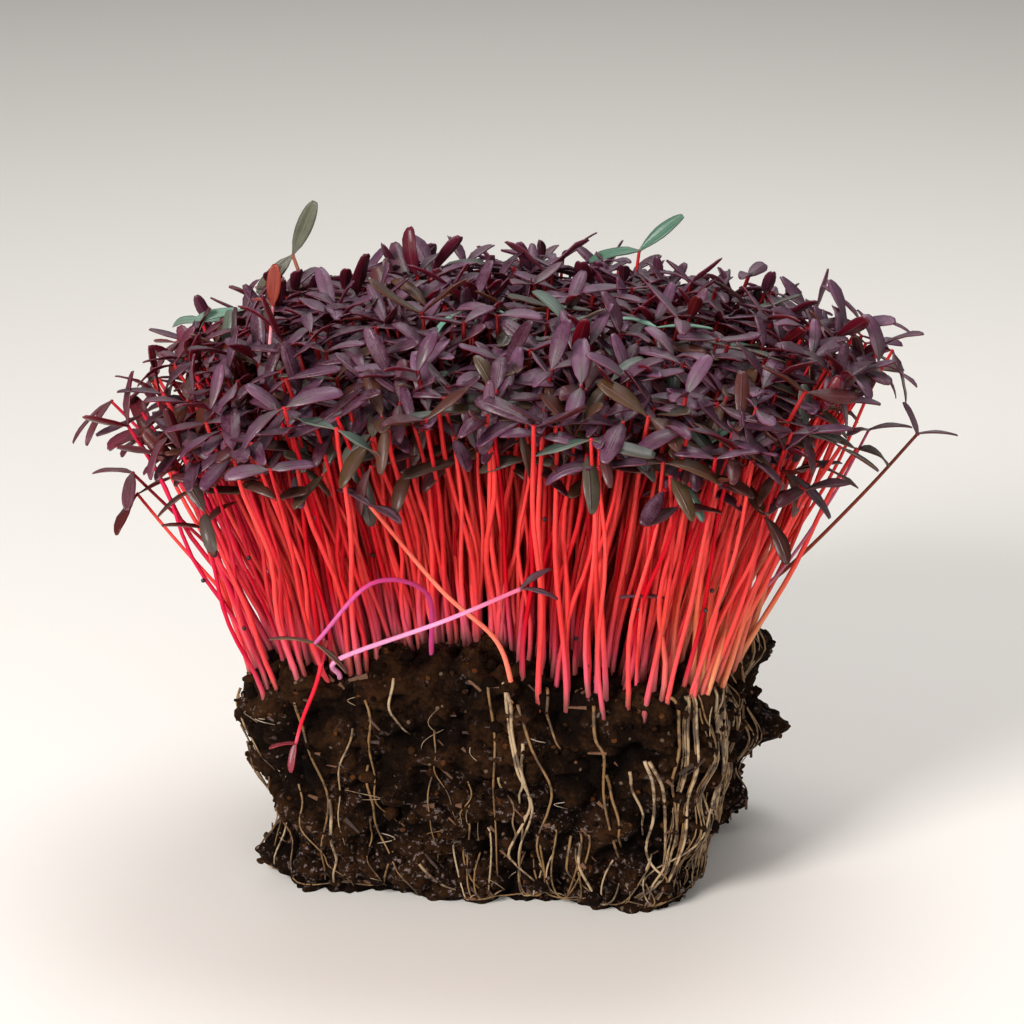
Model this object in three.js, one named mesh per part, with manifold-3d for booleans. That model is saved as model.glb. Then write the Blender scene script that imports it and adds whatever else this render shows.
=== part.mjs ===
// Amaranth microgreens on the block of potting soil that they grew in, lifted out of its growing tray.
// Millimetres, +Z up. The front of the block faces -Y, and the origin is on the floor under its middle.
// The block stands on its flat underside. Its seedlings grow in 25 bunches, five rows of five. Each
// bunch is one node of red stems, fused at the crown in the soil, and one node of dark leaves, which
// hold together where they cross. Roots hang down the outside, and five stray seedlings stand apart.
import * as THREE from "three";
import { mergeVertices } from "three/addons/utils/BufferGeometryUtils.js";
import Module from "manifold-3d";

const wasm = await Module();
wasm.setup();

// Driving dimensions
const SOIL = { height: 51, halfWidth: 50, halfDepth: 41, corner: 15, edge: 5, footShare: 0.88 };
const SOIL_RELIEF = { lump: 1.2, crumb: 1.1 };
const SOIL_GRID = { width: 14, depth: 11, height: 6 };
const CANOPY = { rightReach: 80, leftReach: 76, halfDepth: 67, top: 125, uneven: 6 };
const CANOPY_DROP = { sides: 10, left: 9, ends: 9, front: 2 };
const CANOPY_CORNER_PULL = 0.42;
const BUNCH = { rows: 5, columns: 5, seedlings: 5, thirdLeaves: 3 };
const BUNCH_REACH = { spread: 0.84, foot: 0.95, footShare: 0.36 };
const STEM = { radius: 1.0, sides: 3, steps: 3, early: 0.7, topGap: 2.3 };
const CROWN = { radius: 5, low: 45, high: 48.4, sides: 5 };
const HOLE = { radius: 7, strayRadius: 2.1, lean: 0.03, low: 44.4, sides: 6 };
const LEAF = { length: 19.5, width: 9.6, thickness: 1.3, droop: 0.16, hang: 0.9, overlap: 2 };
const ROSETTE = { thickness: 2.4, width: 9, shoulder: 0.6, notch: 0.3, crowding: 0.42 };
const OUTER = { joint: 0.88, swing: 1.1, least: 0.9, more: 0.25, lift: 0.35 };
const THIRD = { turn: 1.6, swing: 3.1, pitch: 0.5, lift: 0.4 };
const CLEARANCE = { near: 40, room: 0.35, attempts: 16 };
const BENDING = { swing: 0.35, lift: 0.06, shorten: 0.02, shortest: 10 };
const ROOT = { radius: 0.75, sides: 3, lift: 0.7, room: 0.4 };

// Places in a bunch follow a low-discrepancy sequence, which spreads any number of them evenly.
const SEQUENCE_X = 0.7548776662;
const SEQUENCE_Y = 0.5698402909;
const BUNCH_PHASE_X = 0.37;
const BUNCH_PHASE_Y = 0.61;

const COLOURS = { soil: 0x2a1a12, stem: 0xe2322f, leaf: 0x4a2a3d, root: 0xb08a55, green: 0x56624a };

const up = new THREE.Vector3(0, 0, 1);

function share(x) {
  return x - Math.floor(x);
}

// A fixed draw from 0 to 1 for each pair of whole numbers.
function draw(n, salt) {
  return share(Math.sin(n * 12.9898 + salt * 78.233) * 43758.5453);
}

function welded(geometry) {
  const bare = geometry.clone();
  bare.deleteAttribute("normal");
  bare.deleteAttribute("uv");
  return mergeVertices(bare, 1e-4);
}

// Welded geometry to a closed solid.
function closed(geometry) {
  const vertProperties = new Float32Array(geometry.attributes.position.array);
  const triVerts = new Uint32Array(geometry.index.array);
  return new wasm.Manifold(new wasm.Mesh({ numProp: 3, vertProperties, triVerts }));
}

function solid(geometry) {
  return closed(welded(geometry));
}

function fused(solids) {
  return solids.reduce((whole, piece) => whole.add(piece));
}

// The largest body of a solid, without loose scraps.
function mainBody(piece) {
  const bodies = piece.decompose();
  return bodies.reduce((best, body) => (body.volume() > best.volume() ? body : best));
}

function node(name, piece, colour, roughness) {
  const { vertProperties, triVerts } = mainBody(piece).getMesh();
  const geometry = new THREE.BufferGeometry();
  geometry.setAttribute("position", new THREE.BufferAttribute(vertProperties, 3));
  geometry.setIndex(new THREE.BufferAttribute(triVerts, 1));
  geometry.computeVertexNormals();
  const material = new THREE.MeshStandardMaterial({ color: colour, roughness, metalness: 0 });
  const mesh = new THREE.Mesh(geometry, material);
  mesh.name = name;
  return mesh;
}

// The soil block. A box's own coordinates, each from -1 to 1, give a point on the lumpy surface.
const CLUMPS = [
  { x: 1, y: 0.62, z: -0.2, out: 12, size: 0.27 },
  { x: 1, y: 0.6, z: 0.55, out: 9, size: 0.22 },
  { x: 1, y: 0.45, z: -0.78, out: 7, size: 0.22 },
  { x: -1, y: -0.7, z: -0.8, out: 3, size: 0.2 },
  { x: -1, y: -0.7, z: 0.45, out: 3, size: 0.22 },
  { x: -1, y: -0.7, z: -0.25, out: -2.5, size: 0.3 },
  { x: 0.3, y: 1, z: 0.3, out: 4, size: 0.3 },
  { x: -0.6, y: 1, z: -0.5, out: 3.5, size: 0.3 },
];

// The top of the block rises to a mound behind the middle of its front edge.
const MOUND = { x: -0.12, y: -0.85, rise: 4.5, width: 0.36, depth: 0.5 };

function mound(x, y) {
  const away = ((x - MOUND.x) / MOUND.width) ** 2 + ((y - MOUND.y) / MOUND.depth) ** 2;
  return MOUND.rise * Math.exp(-away);
}

function lumps(x, y, z) {
  const wave =
    Math.sin(7.1 * x + 3.3 * z + 1.7) * Math.sin(5.9 * z - 4.2 * y + 0.4) +
    0.6 * Math.sin(11.3 * y + 6.1 * x) * Math.sin(9.7 * x - 8.3 * z + 2.1);
  const clump = CLUMPS.reduce((sum, c) => {
    const away = (x - c.x) ** 2 + (y - c.y) ** 2 + (z - c.z) ** 2;
    return sum + c.out * Math.exp(-away / c.size ** 2);
  }, 0);
  const crumb = draw(Math.round(40 * x) + 97 * Math.round(40 * y), Math.round(40 * z)) - 0.5;
  return SOIL_RELIEF.lump * wave + SOIL_RELIEF.crumb * crumb + clump;
}

// A point of the block's plan, for x and y from -1 to 1: its square corners are drawn in to arcs.
function roundedPlan(x, y) {
  const place = new THREE.Vector2(SOIL.halfWidth * x, SOIL.halfDepth * y);
  const inX = SOIL.halfWidth - SOIL.corner;
  const inY = SOIL.halfDepth - SOIL.corner;
  const core = place.clone().clamp(new THREE.Vector2(-inX, -inY), new THREE.Vector2(inX, inY));
  const beyond = place.sub(core);
  const length = beyond.length();
  const drawnIn = length > 0 ? Math.max(Math.abs(beyond.x), Math.abs(beyond.y)) / length : 1;
  return core.addScaledVector(beyond, drawnIn);
}

// A place on the box, drawn in where the sides meet the top or the underside.
function easedEdge(x, y, z) {
  const sideways = Math.max(Math.abs(x), Math.abs(y));
  const edge = z > 0 ? SOIL.edge : SOIL.edge / 2;
  const inSide = edge / SOIL.halfDepth;
  const inRise = (2 * edge) / SOIL.height;
  const a = (sideways - (1 - inSide)) / inSide;
  const b = (Math.abs(z) - (1 - inRise)) / inRise;
  if (a <= 0 || b <= 0) return [x, y, z];
  const pull = Math.max(a, b) / Math.hypot(a, b);
  const shrink = (1 - inSide + inSide * a * pull) / sideways;
  return [x * shrink, y * shrink, Math.sign(z) * (1 - inRise + inRise * b * pull)];
}

function soilPoint(x, y, z) {
  const [ex, ey, ez] = easedEdge(x, y, z);
  const rise = (ez + 1) / 2;
  const share = SOIL.footShare + (1 - SOIL.footShare) * Math.min(1, 1.6 * rise);
  const plan = roundedPlan(ex, ey).multiplyScalar(share);
  const point = new THREE.Vector3(plan.x, plan.y, SOIL.height * rise);
  const side = new THREE.Vector2(x ** 5, y ** 5);
  const length = side.length();
  const sideways = Math.min(1, length) / Math.max(length, 1e-6);
  const out = lumps(x, y, z);
  point.x += side.x * sideways * out;
  point.y += side.y * sideways * out;
  point.z += rise ** 6 * (out * 0.5 * (1 - 0.6 * Math.min(1, length)) + mound(x, y));
  point.z = z <= -1 ? 0 : Math.max(point.z, 0.6);
  return point;
}

function outward(x, y) {
  return new THREE.Vector3(x ** 5, y ** 5, 0).normalize();
}

function soilBody() {
  const { width, depth, height } = SOIL_GRID;
  const box = welded(new THREE.BoxGeometry(2, 2, 2, width, depth, height));
  const places = box.attributes.position;
  for (let i = 0; i < places.count; i += 1) {
    const p = soilPoint(places.getX(i), places.getY(i), places.getZ(i));
    places.setXYZ(i, p.x, p.y, p.z);
  }
  return closed(box);
}

// Where a seedling's foot and head are, from its place u, v on the block, each from -1 to 1.
function foot(u, v) {
  const plan = roundedPlan(u, v).multiplyScalar(BUNCH_REACH.foot);
  return new THREE.Vector3(plan.x, plan.y, SOIL.height);
}

function head(u, v) {
  const reach = u > 0 ? CANOPY.rightReach : CANOPY.leftReach;
  const x = reach * u * Math.sqrt(1 - CANOPY_CORNER_PULL * v * v);
  const y = CANOPY.halfDepth * v * Math.sqrt(1 - CANOPY_CORNER_PULL * u * u);
  const uneven = CANOPY.uneven * draw(Math.round(90 * u), Math.round(90 * v));
  const across = CANOPY_DROP.sides * u * u + CANOPY_DROP.left * Math.max(0, -u) ** 3;
  const drop = across + CANOPY_DROP.ends * v * v - CANOPY_DROP.front * v + uneven;
  return new THREE.Vector3(x, y, CANOPY.top - drop);
}

function bunchCentre(bunch) {
  const row = Math.floor(bunch / BUNCH.columns);
  const column = bunch % BUNCH.columns;
  return [(2 * column + 1) / BUNCH.columns - 1, (2 * row + 1) / BUNCH.rows - 1];
}

function seedlingPlace(bunch, j) {
  const [u, v] = bunchCentre(bunch);
  const inX = share(0.5 + (j + 1) * SEQUENCE_X + bunch * BUNCH_PHASE_X) - 0.5;
  const inY = share(0.5 + (j + 1) * SEQUENCE_Y + bunch * BUNCH_PHASE_Y) - 0.5;
  const reach = 2 * BUNCH_REACH.spread;
  return [u + (inX * reach) / BUNCH.columns, v + (inY * reach) / BUNCH.rows];
}

// A stem leaves the soil almost upright and leans further out as it rises.
function stemCurve(low, high) {
  const middle = low.clone().lerp(high, 0.5);
  middle.x = low.x + (STEM.early / 2) * (high.x - low.x);
  middle.y = low.y + (STEM.early / 2) * (high.y - low.y);
  return new THREE.QuadraticBezierCurve3(low, middle, high);
}

function strand(curve, radius, sides, steps) {
  const corners = Array.from({ length: sides }, (_, i) => {
    const turn = (2 * Math.PI * i) / sides;
    return new THREE.Vector2(radius * Math.cos(turn), radius * Math.sin(turn));
  });
  const section = new THREE.Shape(corners);
  return solid(new THREE.ExtrudeGeometry(section, { steps, extrudePath: curve, bevelEnabled: false }));
}

function stemBunch(bunch) {
  const [u, v] = bunchCentre(bunch);
  const middle = foot(u, v);
  const crown = new THREE.CylinderGeometry(
    CROWN.radius,
    CROWN.radius * 0.9,
    CROWN.high - CROWN.low,
    CROWN.sides,
  );
  crown.rotateY(Math.PI / CROWN.sides);
  crown.rotateX(Math.PI / 2);
  crown.translate(middle.x, middle.y, (CROWN.low + CROWN.high) / 2);
  const pieces = [solid(crown)];
  for (let j = 0; j < BUNCH.seedlings; j += 1) {
    const [su, sv] = seedlingPlace(bunch, j);
    const low = middle.clone().lerp(foot(su, sv), BUNCH_REACH.footShare);
    low.z = CROWN.low + 1.4;
    const high = head(su, sv);
    high.z -= STEM.topGap;
    pieces.push(strand(stemCurve(low, high), STEM.radius, STEM.sides, STEM.steps));
  }
  return fused(pieces);
}

function plainHole(x, y, radius) {
  const depth = SOIL.height + 12 - HOLE.low;
  const hole = new THREE.CylinderGeometry(radius, radius, depth, HOLE.sides);
  hole.rotateY(Math.PI / HOLE.sides);
  hole.rotateX(Math.PI / 2);
  hole.translate(x, y, HOLE.low + depth / 2);
  return solid(hole);
}

function heading(turn, pitch) {
  const flat = Math.cos(pitch);
  return new THREE.Vector3(flat * Math.cos(turn), flat * Math.sin(turn), Math.sin(pitch));
}

// A seed leaf: a three-sided ball drawn out along its midrib to a blade with a flat face and a keel
// under it, pointed at both ends and widest past its middle, that arches down towards its tip.
const BLADE_PLACES = [0, 0.32, 0.7, 1];
const BLADE_WIDTHS = [0, 0.8, 0.92, 0];

function blade(base, direction, length, width, thickness, droop) {
  const along = direction.clone().normalize();
  const side = new THREE.Vector3().crossVectors(up, along).normalize();
  const face = new THREE.Vector3().crossVectors(along, side);
  const rings = BLADE_PLACES.length - 1;
  const ball = welded(new THREE.SphereGeometry(1, 3, rings));
  const places = ball.attributes.position;
  const point = new THREE.Vector3();
  for (let i = 0; i < places.count; i += 1) {
    point.fromBufferAttribute(places, i);
    const ring = Math.round((Math.acos(point.y) * rings) / Math.PI);
    const t = BLADE_PLACES[ring];
    const turn = Math.atan2(point.z, point.x) + Math.PI / 2;
    const across = (Math.cos(turn) * BLADE_WIDTHS[ring] * width) / 2;
    const through = (Math.sin(turn) * BLADE_WIDTHS[ring] * thickness) / 2;
    const placed = base
      .clone()
      .addScaledVector(along, t * length)
      .addScaledVector(side, across)
      .addScaledVector(face, through - droop * length * t * t);
    places.setXYZ(i, placed.x, placed.y, placed.z);
  }
  return closed(ball);
}

function bladeAt(base, turn, pitch, length, width, grown = 0) {
  const start = base.clone().addScaledVector(heading(turn, pitch), -grown);
  const thickness = LEAF.thickness + 2 * grown;
  const long = length + 2 * grown;
  return blade(start, heading(turn, pitch), long, width + 2 * grown, thickness, LEAF.droop);
}

function boxesMeet(a, b) {
  const p = a.boundingBox();
  const q = b.boundingBox();
  return [0, 1, 2].every((i) => p.min[i] < q.max[i] && q.min[i] < p.max[i]);
}

function isClear(piece, others) {
  return others.every((other) => !boxesMeet(piece, other) || piece.intersect(other).volume() < 1e-6);
}

// The inner leaves of a bunch run from its middle out to each head, and grow together there: one thin
// rosette, with a pointed leaf for each head and notches between them.
function innerLeaves(bunch) {
  const centre = head(...bunchCentre(bunch));
  const arms = [];
  for (let j = 0; j < BUNCH.seedlings; j += 1) {
    const offset = head(...seedlingPlace(bunch, j)).sub(centre);
    arms.push({ offset, turn: Math.atan2(offset.y, offset.x) });
  }
  arms.sort((a, b) => a.turn - b.turn);
  const outline = arms.flatMap(({ offset, turn }, i) => {
    const next = arms[(i + 1) % arms.length];
    const last = arms[(i + arms.length - 1) % arms.length];
    const gap = share((next.turn - turn) / (2 * Math.PI)) * 2 * Math.PI;
    const before = share((turn - last.turn) / (2 * Math.PI)) * 2 * Math.PI;
    const far = offset.length();
    const shoulder = (step, room) => {
      const wide = Math.atan2(ROSETTE.width / 2, ROSETTE.shoulder * far);
      const swing = Math.min(wide, ROSETTE.crowding * room);
      const reach = Math.min(1, ROSETTE.shoulder / Math.cos(swing));
      return offset.clone().applyAxisAngle(up, step * swing).multiplyScalar(reach);
    };
    const notch = offset.clone().applyAxisAngle(up, gap / 2).multiplyScalar(ROSETTE.notch);
    return [shoulder(-1, before), offset, shoulder(1, gap), notch];
  });
  const ball = welded(new THREE.SphereGeometry(1, outline.length, 2).rotateX(Math.PI / 2));
  const places = ball.attributes.position;
  for (let i = 0; i < places.count; i += 1) {
    const place = new THREE.Vector3().fromBufferAttribute(places, i);
    if (Math.abs(place.z) > 0.5) {
      place.set(centre.x, centre.y, centre.z + (place.z * ROSETTE.thickness) / 2);
    } else {
      const turned = share(Math.atan2(place.y, place.x) / (2 * Math.PI) + 0.5 + 1e-6);
      place.copy(outline[Math.floor(turned * outline.length + 0.01) % outline.length]).add(centre);
    }
    places.setXYZ(i, place.x, place.y, place.z);
  }
  return closed(ball);
}

function isNear(other, centre, reach) {
  const { min, max } = other.boundingBox();
  const inX = min[0] < centre.x + reach && max[0] > centre.x - reach;
  return inX && min[1] < centre.y + reach && max[1] > centre.y - reach;
}

// Outer leaves spread from each head. Each is bent clear of the other nodes, and of the other leaves of
// its bunch as far as it can be. A leaf that can't be bent clear of another node is left out.
function withOuterLeaves(bunch, inner, others) {
  const centre = head(...bunchCentre(bunch));
  const near = others.filter((other) => isNear(other, centre, CLEARANCE.near));
  const grown = [];
  const grow = (base, turn, pitch, length, salt) => {
    let best = null;
    let leastCrossed = Infinity;
    for (let attempt = 0; attempt < CLEARANCE.attempts && leastCrossed > 0; attempt += 1) {
      const swing = (draw(salt, attempt) - 0.5) * BENDING.swing * attempt;
      const lift = pitch + BENDING.lift * attempt * draw(salt, attempt + 40);
      const long = Math.max(BENDING.shortest, length * (1 - BENDING.shorten * attempt));
      const back = base.clone().addScaledVector(heading(turn + swing, lift), -LEAF.overlap);
      const leaf = bladeAt(back, turn + swing, lift, long, LEAF.width);
      const crossed = grown.reduce((sum, other) => sum + leaf.intersect(other).volume(), 0);
      if (crossed >= leastCrossed) continue;
      if (!isClear(bladeAt(back, turn + swing, lift, long, LEAF.width, CLEARANCE.room), near)) continue;
      best = leaf;
      leastCrossed = crossed;
    }
    if (best) grown.push(best);
  };
  for (let j = 0; j < BUNCH.seedlings; j += 1) {
    const salt = 100 * bunch + 10 * j;
    const offset = head(...seedlingPlace(bunch, j)).sub(centre);
    const high = centre.clone().addScaledVector(offset, OUTER.joint);
    const turn = Math.atan2(offset.y, offset.x);
    const outer = turn + OUTER.swing * (draw(salt, 1) - 0.5);
    const length = LEAF.length * (OUTER.least + OUTER.more * draw(salt, 2));
    const outwards = new THREE.Vector2(high.x / CANOPY.rightReach, high.y / CANOPY.halfDepth);
    const outside = outwards.dot(new THREE.Vector2(Math.cos(outer), Math.sin(outer)));
    const hang = LEAF.hang * Math.max(0, outside) ** 2;
    grow(high, outer, OUTER.lift * draw(salt, 3) - hang, length, salt + 1);
    if (j >= BUNCH.thirdLeaves) continue;
    const other = turn + THIRD.turn + THIRD.swing * draw(salt, 4);
    grow(high, other, THIRD.pitch + THIRD.lift * draw(salt, 5), length, salt + 2);
  }
  return mainBody(fused([inner, ...grown]));
}

// A stray seedling: its stem follows the points, and its two seed leaves stand at the last one.
function straySeedling(points, leaves, radius = 1.0) {
  const curve = new THREE.CatmullRomCurve3(points.map((p) => new THREE.Vector3(...p)));
  const tip = curve.getPoint(1);
  const pieces = [strand(curve, radius, 4, points.length * 2)];
  for (const { turn, pitch, length, width = LEAF.width } of leaves) {
    const direction = heading(turn, pitch);
    const base = tip.clone().addScaledVector(direction, -1.2);
    pieces.push(blade(base, direction, length, width, LEAF.thickness, 0.12));
  }
  return fused(pieces);
}

const STRAYS = {
  seedling_tall: {
    points: [[-28.5, 23.2, 45.5], [-29.5, 23.8, 60], [-39, 28, 90], [-52, 32, 124]],
    leaves: [{ turn: 0.3, pitch: 1.3, length: 16 }, { turn: 2.9, pitch: -0.6, length: 13 }],
  },
  seedling_fallen: {
    points: [[-28.5, -36.3, 45.5], [-28.7, -37, 52], [-27, -44, 56], [-3.4, -57, 69], [13, -65.5, 79]],
    leaves: [
      { turn: -0.15, pitch: 0, length: 10, width: 4 },
      { turn: 1, pitch: 1.1, length: 9, width: 4 },
    ],
  },
  seedling_drooping: {
    points: [[-9.5, -36.3, 45.5], [-9.5, -37.5, 56], [-8, -52, 73], [-17, -63, 78], [-28, -66, 66]],
    leaves: [
      { turn: 3.0, pitch: 0.2, length: 12, width: 3.5 },
      { turn: -0.4, pitch: -0.5, length: 10, width: 3.5 },
    ],
  },
  seedling_right: {
    points: [[45.4, -8, 45.5], [46.2, -8, 54], [62, -8, 68], [77, -6, 84], [88, -4, 97]],
    leaves: [
      { turn: 0.2, pitch: 0.15, length: 11, width: 4 },
      { turn: 1.7, pitch: 0.9, length: 9, width: 4 },
    ],
  },
  seedling_left: {
    points: [[-45.4, -8.2, 45.5], [-46, -8.6, 54], [-60, -16, 69], [-75, -25, 88]],
    leaves: [{ turn: 2.9, pitch: 0.1, length: 12 }, { turn: -1.9, pitch: 0.35, length: 12 }],
  },
};

// Roots on the outside of the soil, as places x, y, z on its box, from the top down.
const ROOTS = {
  roots_corner: [
    [[0.9, -1, 0.98], [0.88, -1, 0.3], [0.86, -1, -0.35], [0.72, -1, -0.85]],
    [[1, -0.9, 0.98], [0.99, -0.96, 0.35], [0.9, -1, -0.2], [0.82, -1, -0.86]],
    [[1, -0.72, 0.95], [1, -0.8, 0.4], [1, -0.72, -0.3], [1, -0.85, -0.85]],
    [[1, -0.84, 0.7], [1, -0.62, 0.1], [1, -0.5, -0.5], [1, -0.62, -0.86]],
  ],
  roots_front_right: [
    [[0.5, -1, 0.9], [0.53, -1, 0.4], [0.52, -1, -0.1], [0.62, -1, -0.8]],
    [[0.52, -1, 0.25], [0.66, -1, 0], [0.72, -1, -0.4], [0.7, -1, -0.84]],
  ],
  roots_front_middle: [
    [[0.1, -1, 0.95], [0.14, -1, 0.45], [0.24, -1, 0.05], [0.12, -1, -0.45], [0.14, -1, -0.84]],
    [[0.28, -1, 0.8], [0.26, -1, 0.4], [0.17, -1, 0.2], [0.32, -1, -0.3], [0.28, -1, -0.86]],
  ],
  roots_front_left: [
    [[-0.74, -1, 0.75], [-0.7, -1, 0.25], [-0.62, -1, -0.15], [-0.66, -1, -0.8]],
    [[-0.66, -1, 0.05], [-0.52, -1, -0.35], [-0.56, -1, -0.78]],
  ],
};

function rootCurve(places) {
  const points = places.map(([x, y, z]) => {
    return soilPoint(x, y, z).addScaledVector(outward(x, y), ROOT.lift);
  });
  return new THREE.CatmullRomCurve3(points);
}

function rootSpray(strands, grown = 0) {
  const pieces = strands.map((places) => {
    return strand(rootCurve(places), ROOT.radius + grown, ROOT.sides, places.length + 1);
  });
  return fused(pieces);
}

const bunches = Array.from({ length: BUNCH.rows * BUNCH.columns }, (_, i) => i);
const label = (i) => String(i + 1).padStart(2, "0");

const stems = bunches.map(stemBunch);
const strays = Object.entries(STRAYS).map(([name, { points, leaves }]) => {
  return [name, straySeedling(points, leaves)];
});
const leaves = bunches.map(innerLeaves);
bunches.forEach((bunch) => {
  const others = leaves.filter((_, i) => i !== bunch);
  const taken = [...stems, ...strays.map(([, piece]) => piece), ...others];
  leaves[bunch] = withOuterLeaves(bunch, leaves[bunch], taken);
});

// A bunch's hole is set a little way out from its foot, as its stems lean outwards there.
const bunchHoles = bunches.map((bunch) => {
  const place = foot(...bunchCentre(bunch)).lerp(head(...bunchCentre(bunch)), HOLE.lean);
  return plainHole(place.x, place.y, HOLE.radius);
});
const strayHoles = Object.values(STRAYS).map(({ points: [[x, y]] }) => {
  return plainHole(x, y, HOLE.strayRadius);
});
const roots = Object.entries(ROOTS);
const grooves = roots.map(([, strands]) => rootSpray(strands, ROOT.room));
const cuts = [...bunchHoles, ...strayHoles, ...grooves];
const soil = cuts.reduce((body, cut) => body.subtract(cut), soilBody());

const microgreens = new THREE.Group();
microgreens.add(node("soil_block", soil, COLOURS.soil, 0.95));
stems.forEach((piece, i) => microgreens.add(node("stems_" + label(i), piece, COLOURS.stem, 0.45)));
leaves.forEach((piece, i) => microgreens.add(node("leaves_" + label(i), piece, COLOURS.leaf, 0.5)));
strays.forEach(([name, piece]) => microgreens.add(node(name, piece, COLOURS.green, 0.5)));
roots.forEach(([name, strands]) => microgreens.add(node(name, rootSpray(strands), COLOURS.root, 0.7)));

export default microgreens;
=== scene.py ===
"""Amaranth microgreens on the block of potting soil that they grew in, dressed for rendering.

Everything is in metres, with the floor at z = 0 and the front of the block facing -Y. The soil block,
its roots, the bunches of stems and of seed leaves and the stray seedlings each stand in for their CAD
nodes, in finer form.
"""
import logging
import math
import random
from dataclasses import dataclass, field
from enum import Enum

import bmesh
import bpy
import numpy as np
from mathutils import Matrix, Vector, noise


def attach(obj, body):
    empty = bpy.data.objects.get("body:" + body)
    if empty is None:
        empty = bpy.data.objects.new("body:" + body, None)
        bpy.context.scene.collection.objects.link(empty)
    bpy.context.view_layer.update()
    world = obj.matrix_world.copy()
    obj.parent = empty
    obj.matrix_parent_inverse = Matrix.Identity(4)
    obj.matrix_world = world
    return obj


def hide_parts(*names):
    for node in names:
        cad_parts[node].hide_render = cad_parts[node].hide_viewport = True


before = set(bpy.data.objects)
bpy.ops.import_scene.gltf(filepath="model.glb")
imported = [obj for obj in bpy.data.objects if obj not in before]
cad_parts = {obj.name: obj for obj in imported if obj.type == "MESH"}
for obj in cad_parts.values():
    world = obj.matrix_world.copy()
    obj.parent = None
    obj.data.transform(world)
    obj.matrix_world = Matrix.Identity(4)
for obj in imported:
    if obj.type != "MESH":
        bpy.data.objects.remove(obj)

LOG = logging.getLogger("microgreens")
MM = 0.001
UP = Vector((0.0, 0.0, 1.0))
FRONT = Vector((0.14, -0.95, 0.28))
BODY = "root"
TINT = "grown"
NOISE_SEED = 3

Colour = tuple[float, float, float]
Band = tuple[float, float]


class Slot(Enum):
    """The record's material slots."""

    SOIL = "soil"
    STEM = "stem"
    LEAF = "leaf"
    STRAY = "stray_seedling"
    ROOT = "root"


def smooth_step(low: float, high: float, value: float) -> float:
    """Ease from 0 at low to 1 at high.

    Args:
        low: Where the ease starts.
        high: Where it ends, which may be below low.
        value: The place on it.

    Returns:
        A number from 0 to 1.
    """
    t = min(1.0, max(0.0, (value - low) / (high - low)))
    return t * t * (3.0 - 2.0 * t)


def mixed(a: float, b: float, t: float) -> float:
    """Return the value a share t of the way from a to b."""
    return a + (b - a) * t


class Signal:
    """A shader socket that takes part in Python arithmetic."""

    def __init__(self, shader: "Shader", socket: bpy.types.NodeSocket) -> None:
        """Wrap a socket of the shader's tree."""
        self.shader = shader
        self.socket = socket

    def _math(self, operation: str, *values: "Signal | float") -> "Signal":
        """Add a Math node for the operation on the values."""
        inputs = dict(enumerate(values))
        return self.shader.node("ShaderNodeMath", {"operation": operation}, inputs)

    def __add__(self, other: "Signal | float") -> "Signal":
        """Return the sum."""
        return self._math("ADD", self, other)

    __radd__ = __add__

    def __sub__(self, other: "Signal | float") -> "Signal":
        """Return the difference."""
        return self._math("SUBTRACT", self, other)

    def __rsub__(self, other: float) -> "Signal":
        """Return a number less this signal."""
        return self._math("SUBTRACT", other, self)

    def __mul__(self, other: "Signal | float") -> "Signal":
        """Return the product."""
        return self._math("MULTIPLY", self, other)

    __rmul__ = __mul__

    def __abs__(self) -> "Signal":
        """Return the size without its sign."""
        return self._math("ABSOLUTE", self)

    def eased(self, low: float, high: float) -> "Signal":
        """Ease from 0 where this signal is low to 1 where it is high.

        Args:
            low: The signal's value at 0.
            high: The signal's value at 1.

        Returns:
            The eased signal.
        """
        settings = {"interpolation_type": "SMOOTHSTEP"}
        if high > low:
            return self.shader.node("ShaderNodeMapRange", settings, {"Value": self, 1: low, 2: high})
        rising = self.shader.node("ShaderNodeMapRange", settings, {"Value": self, 1: high, 2: low})
        return 1.0 - rising


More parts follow.
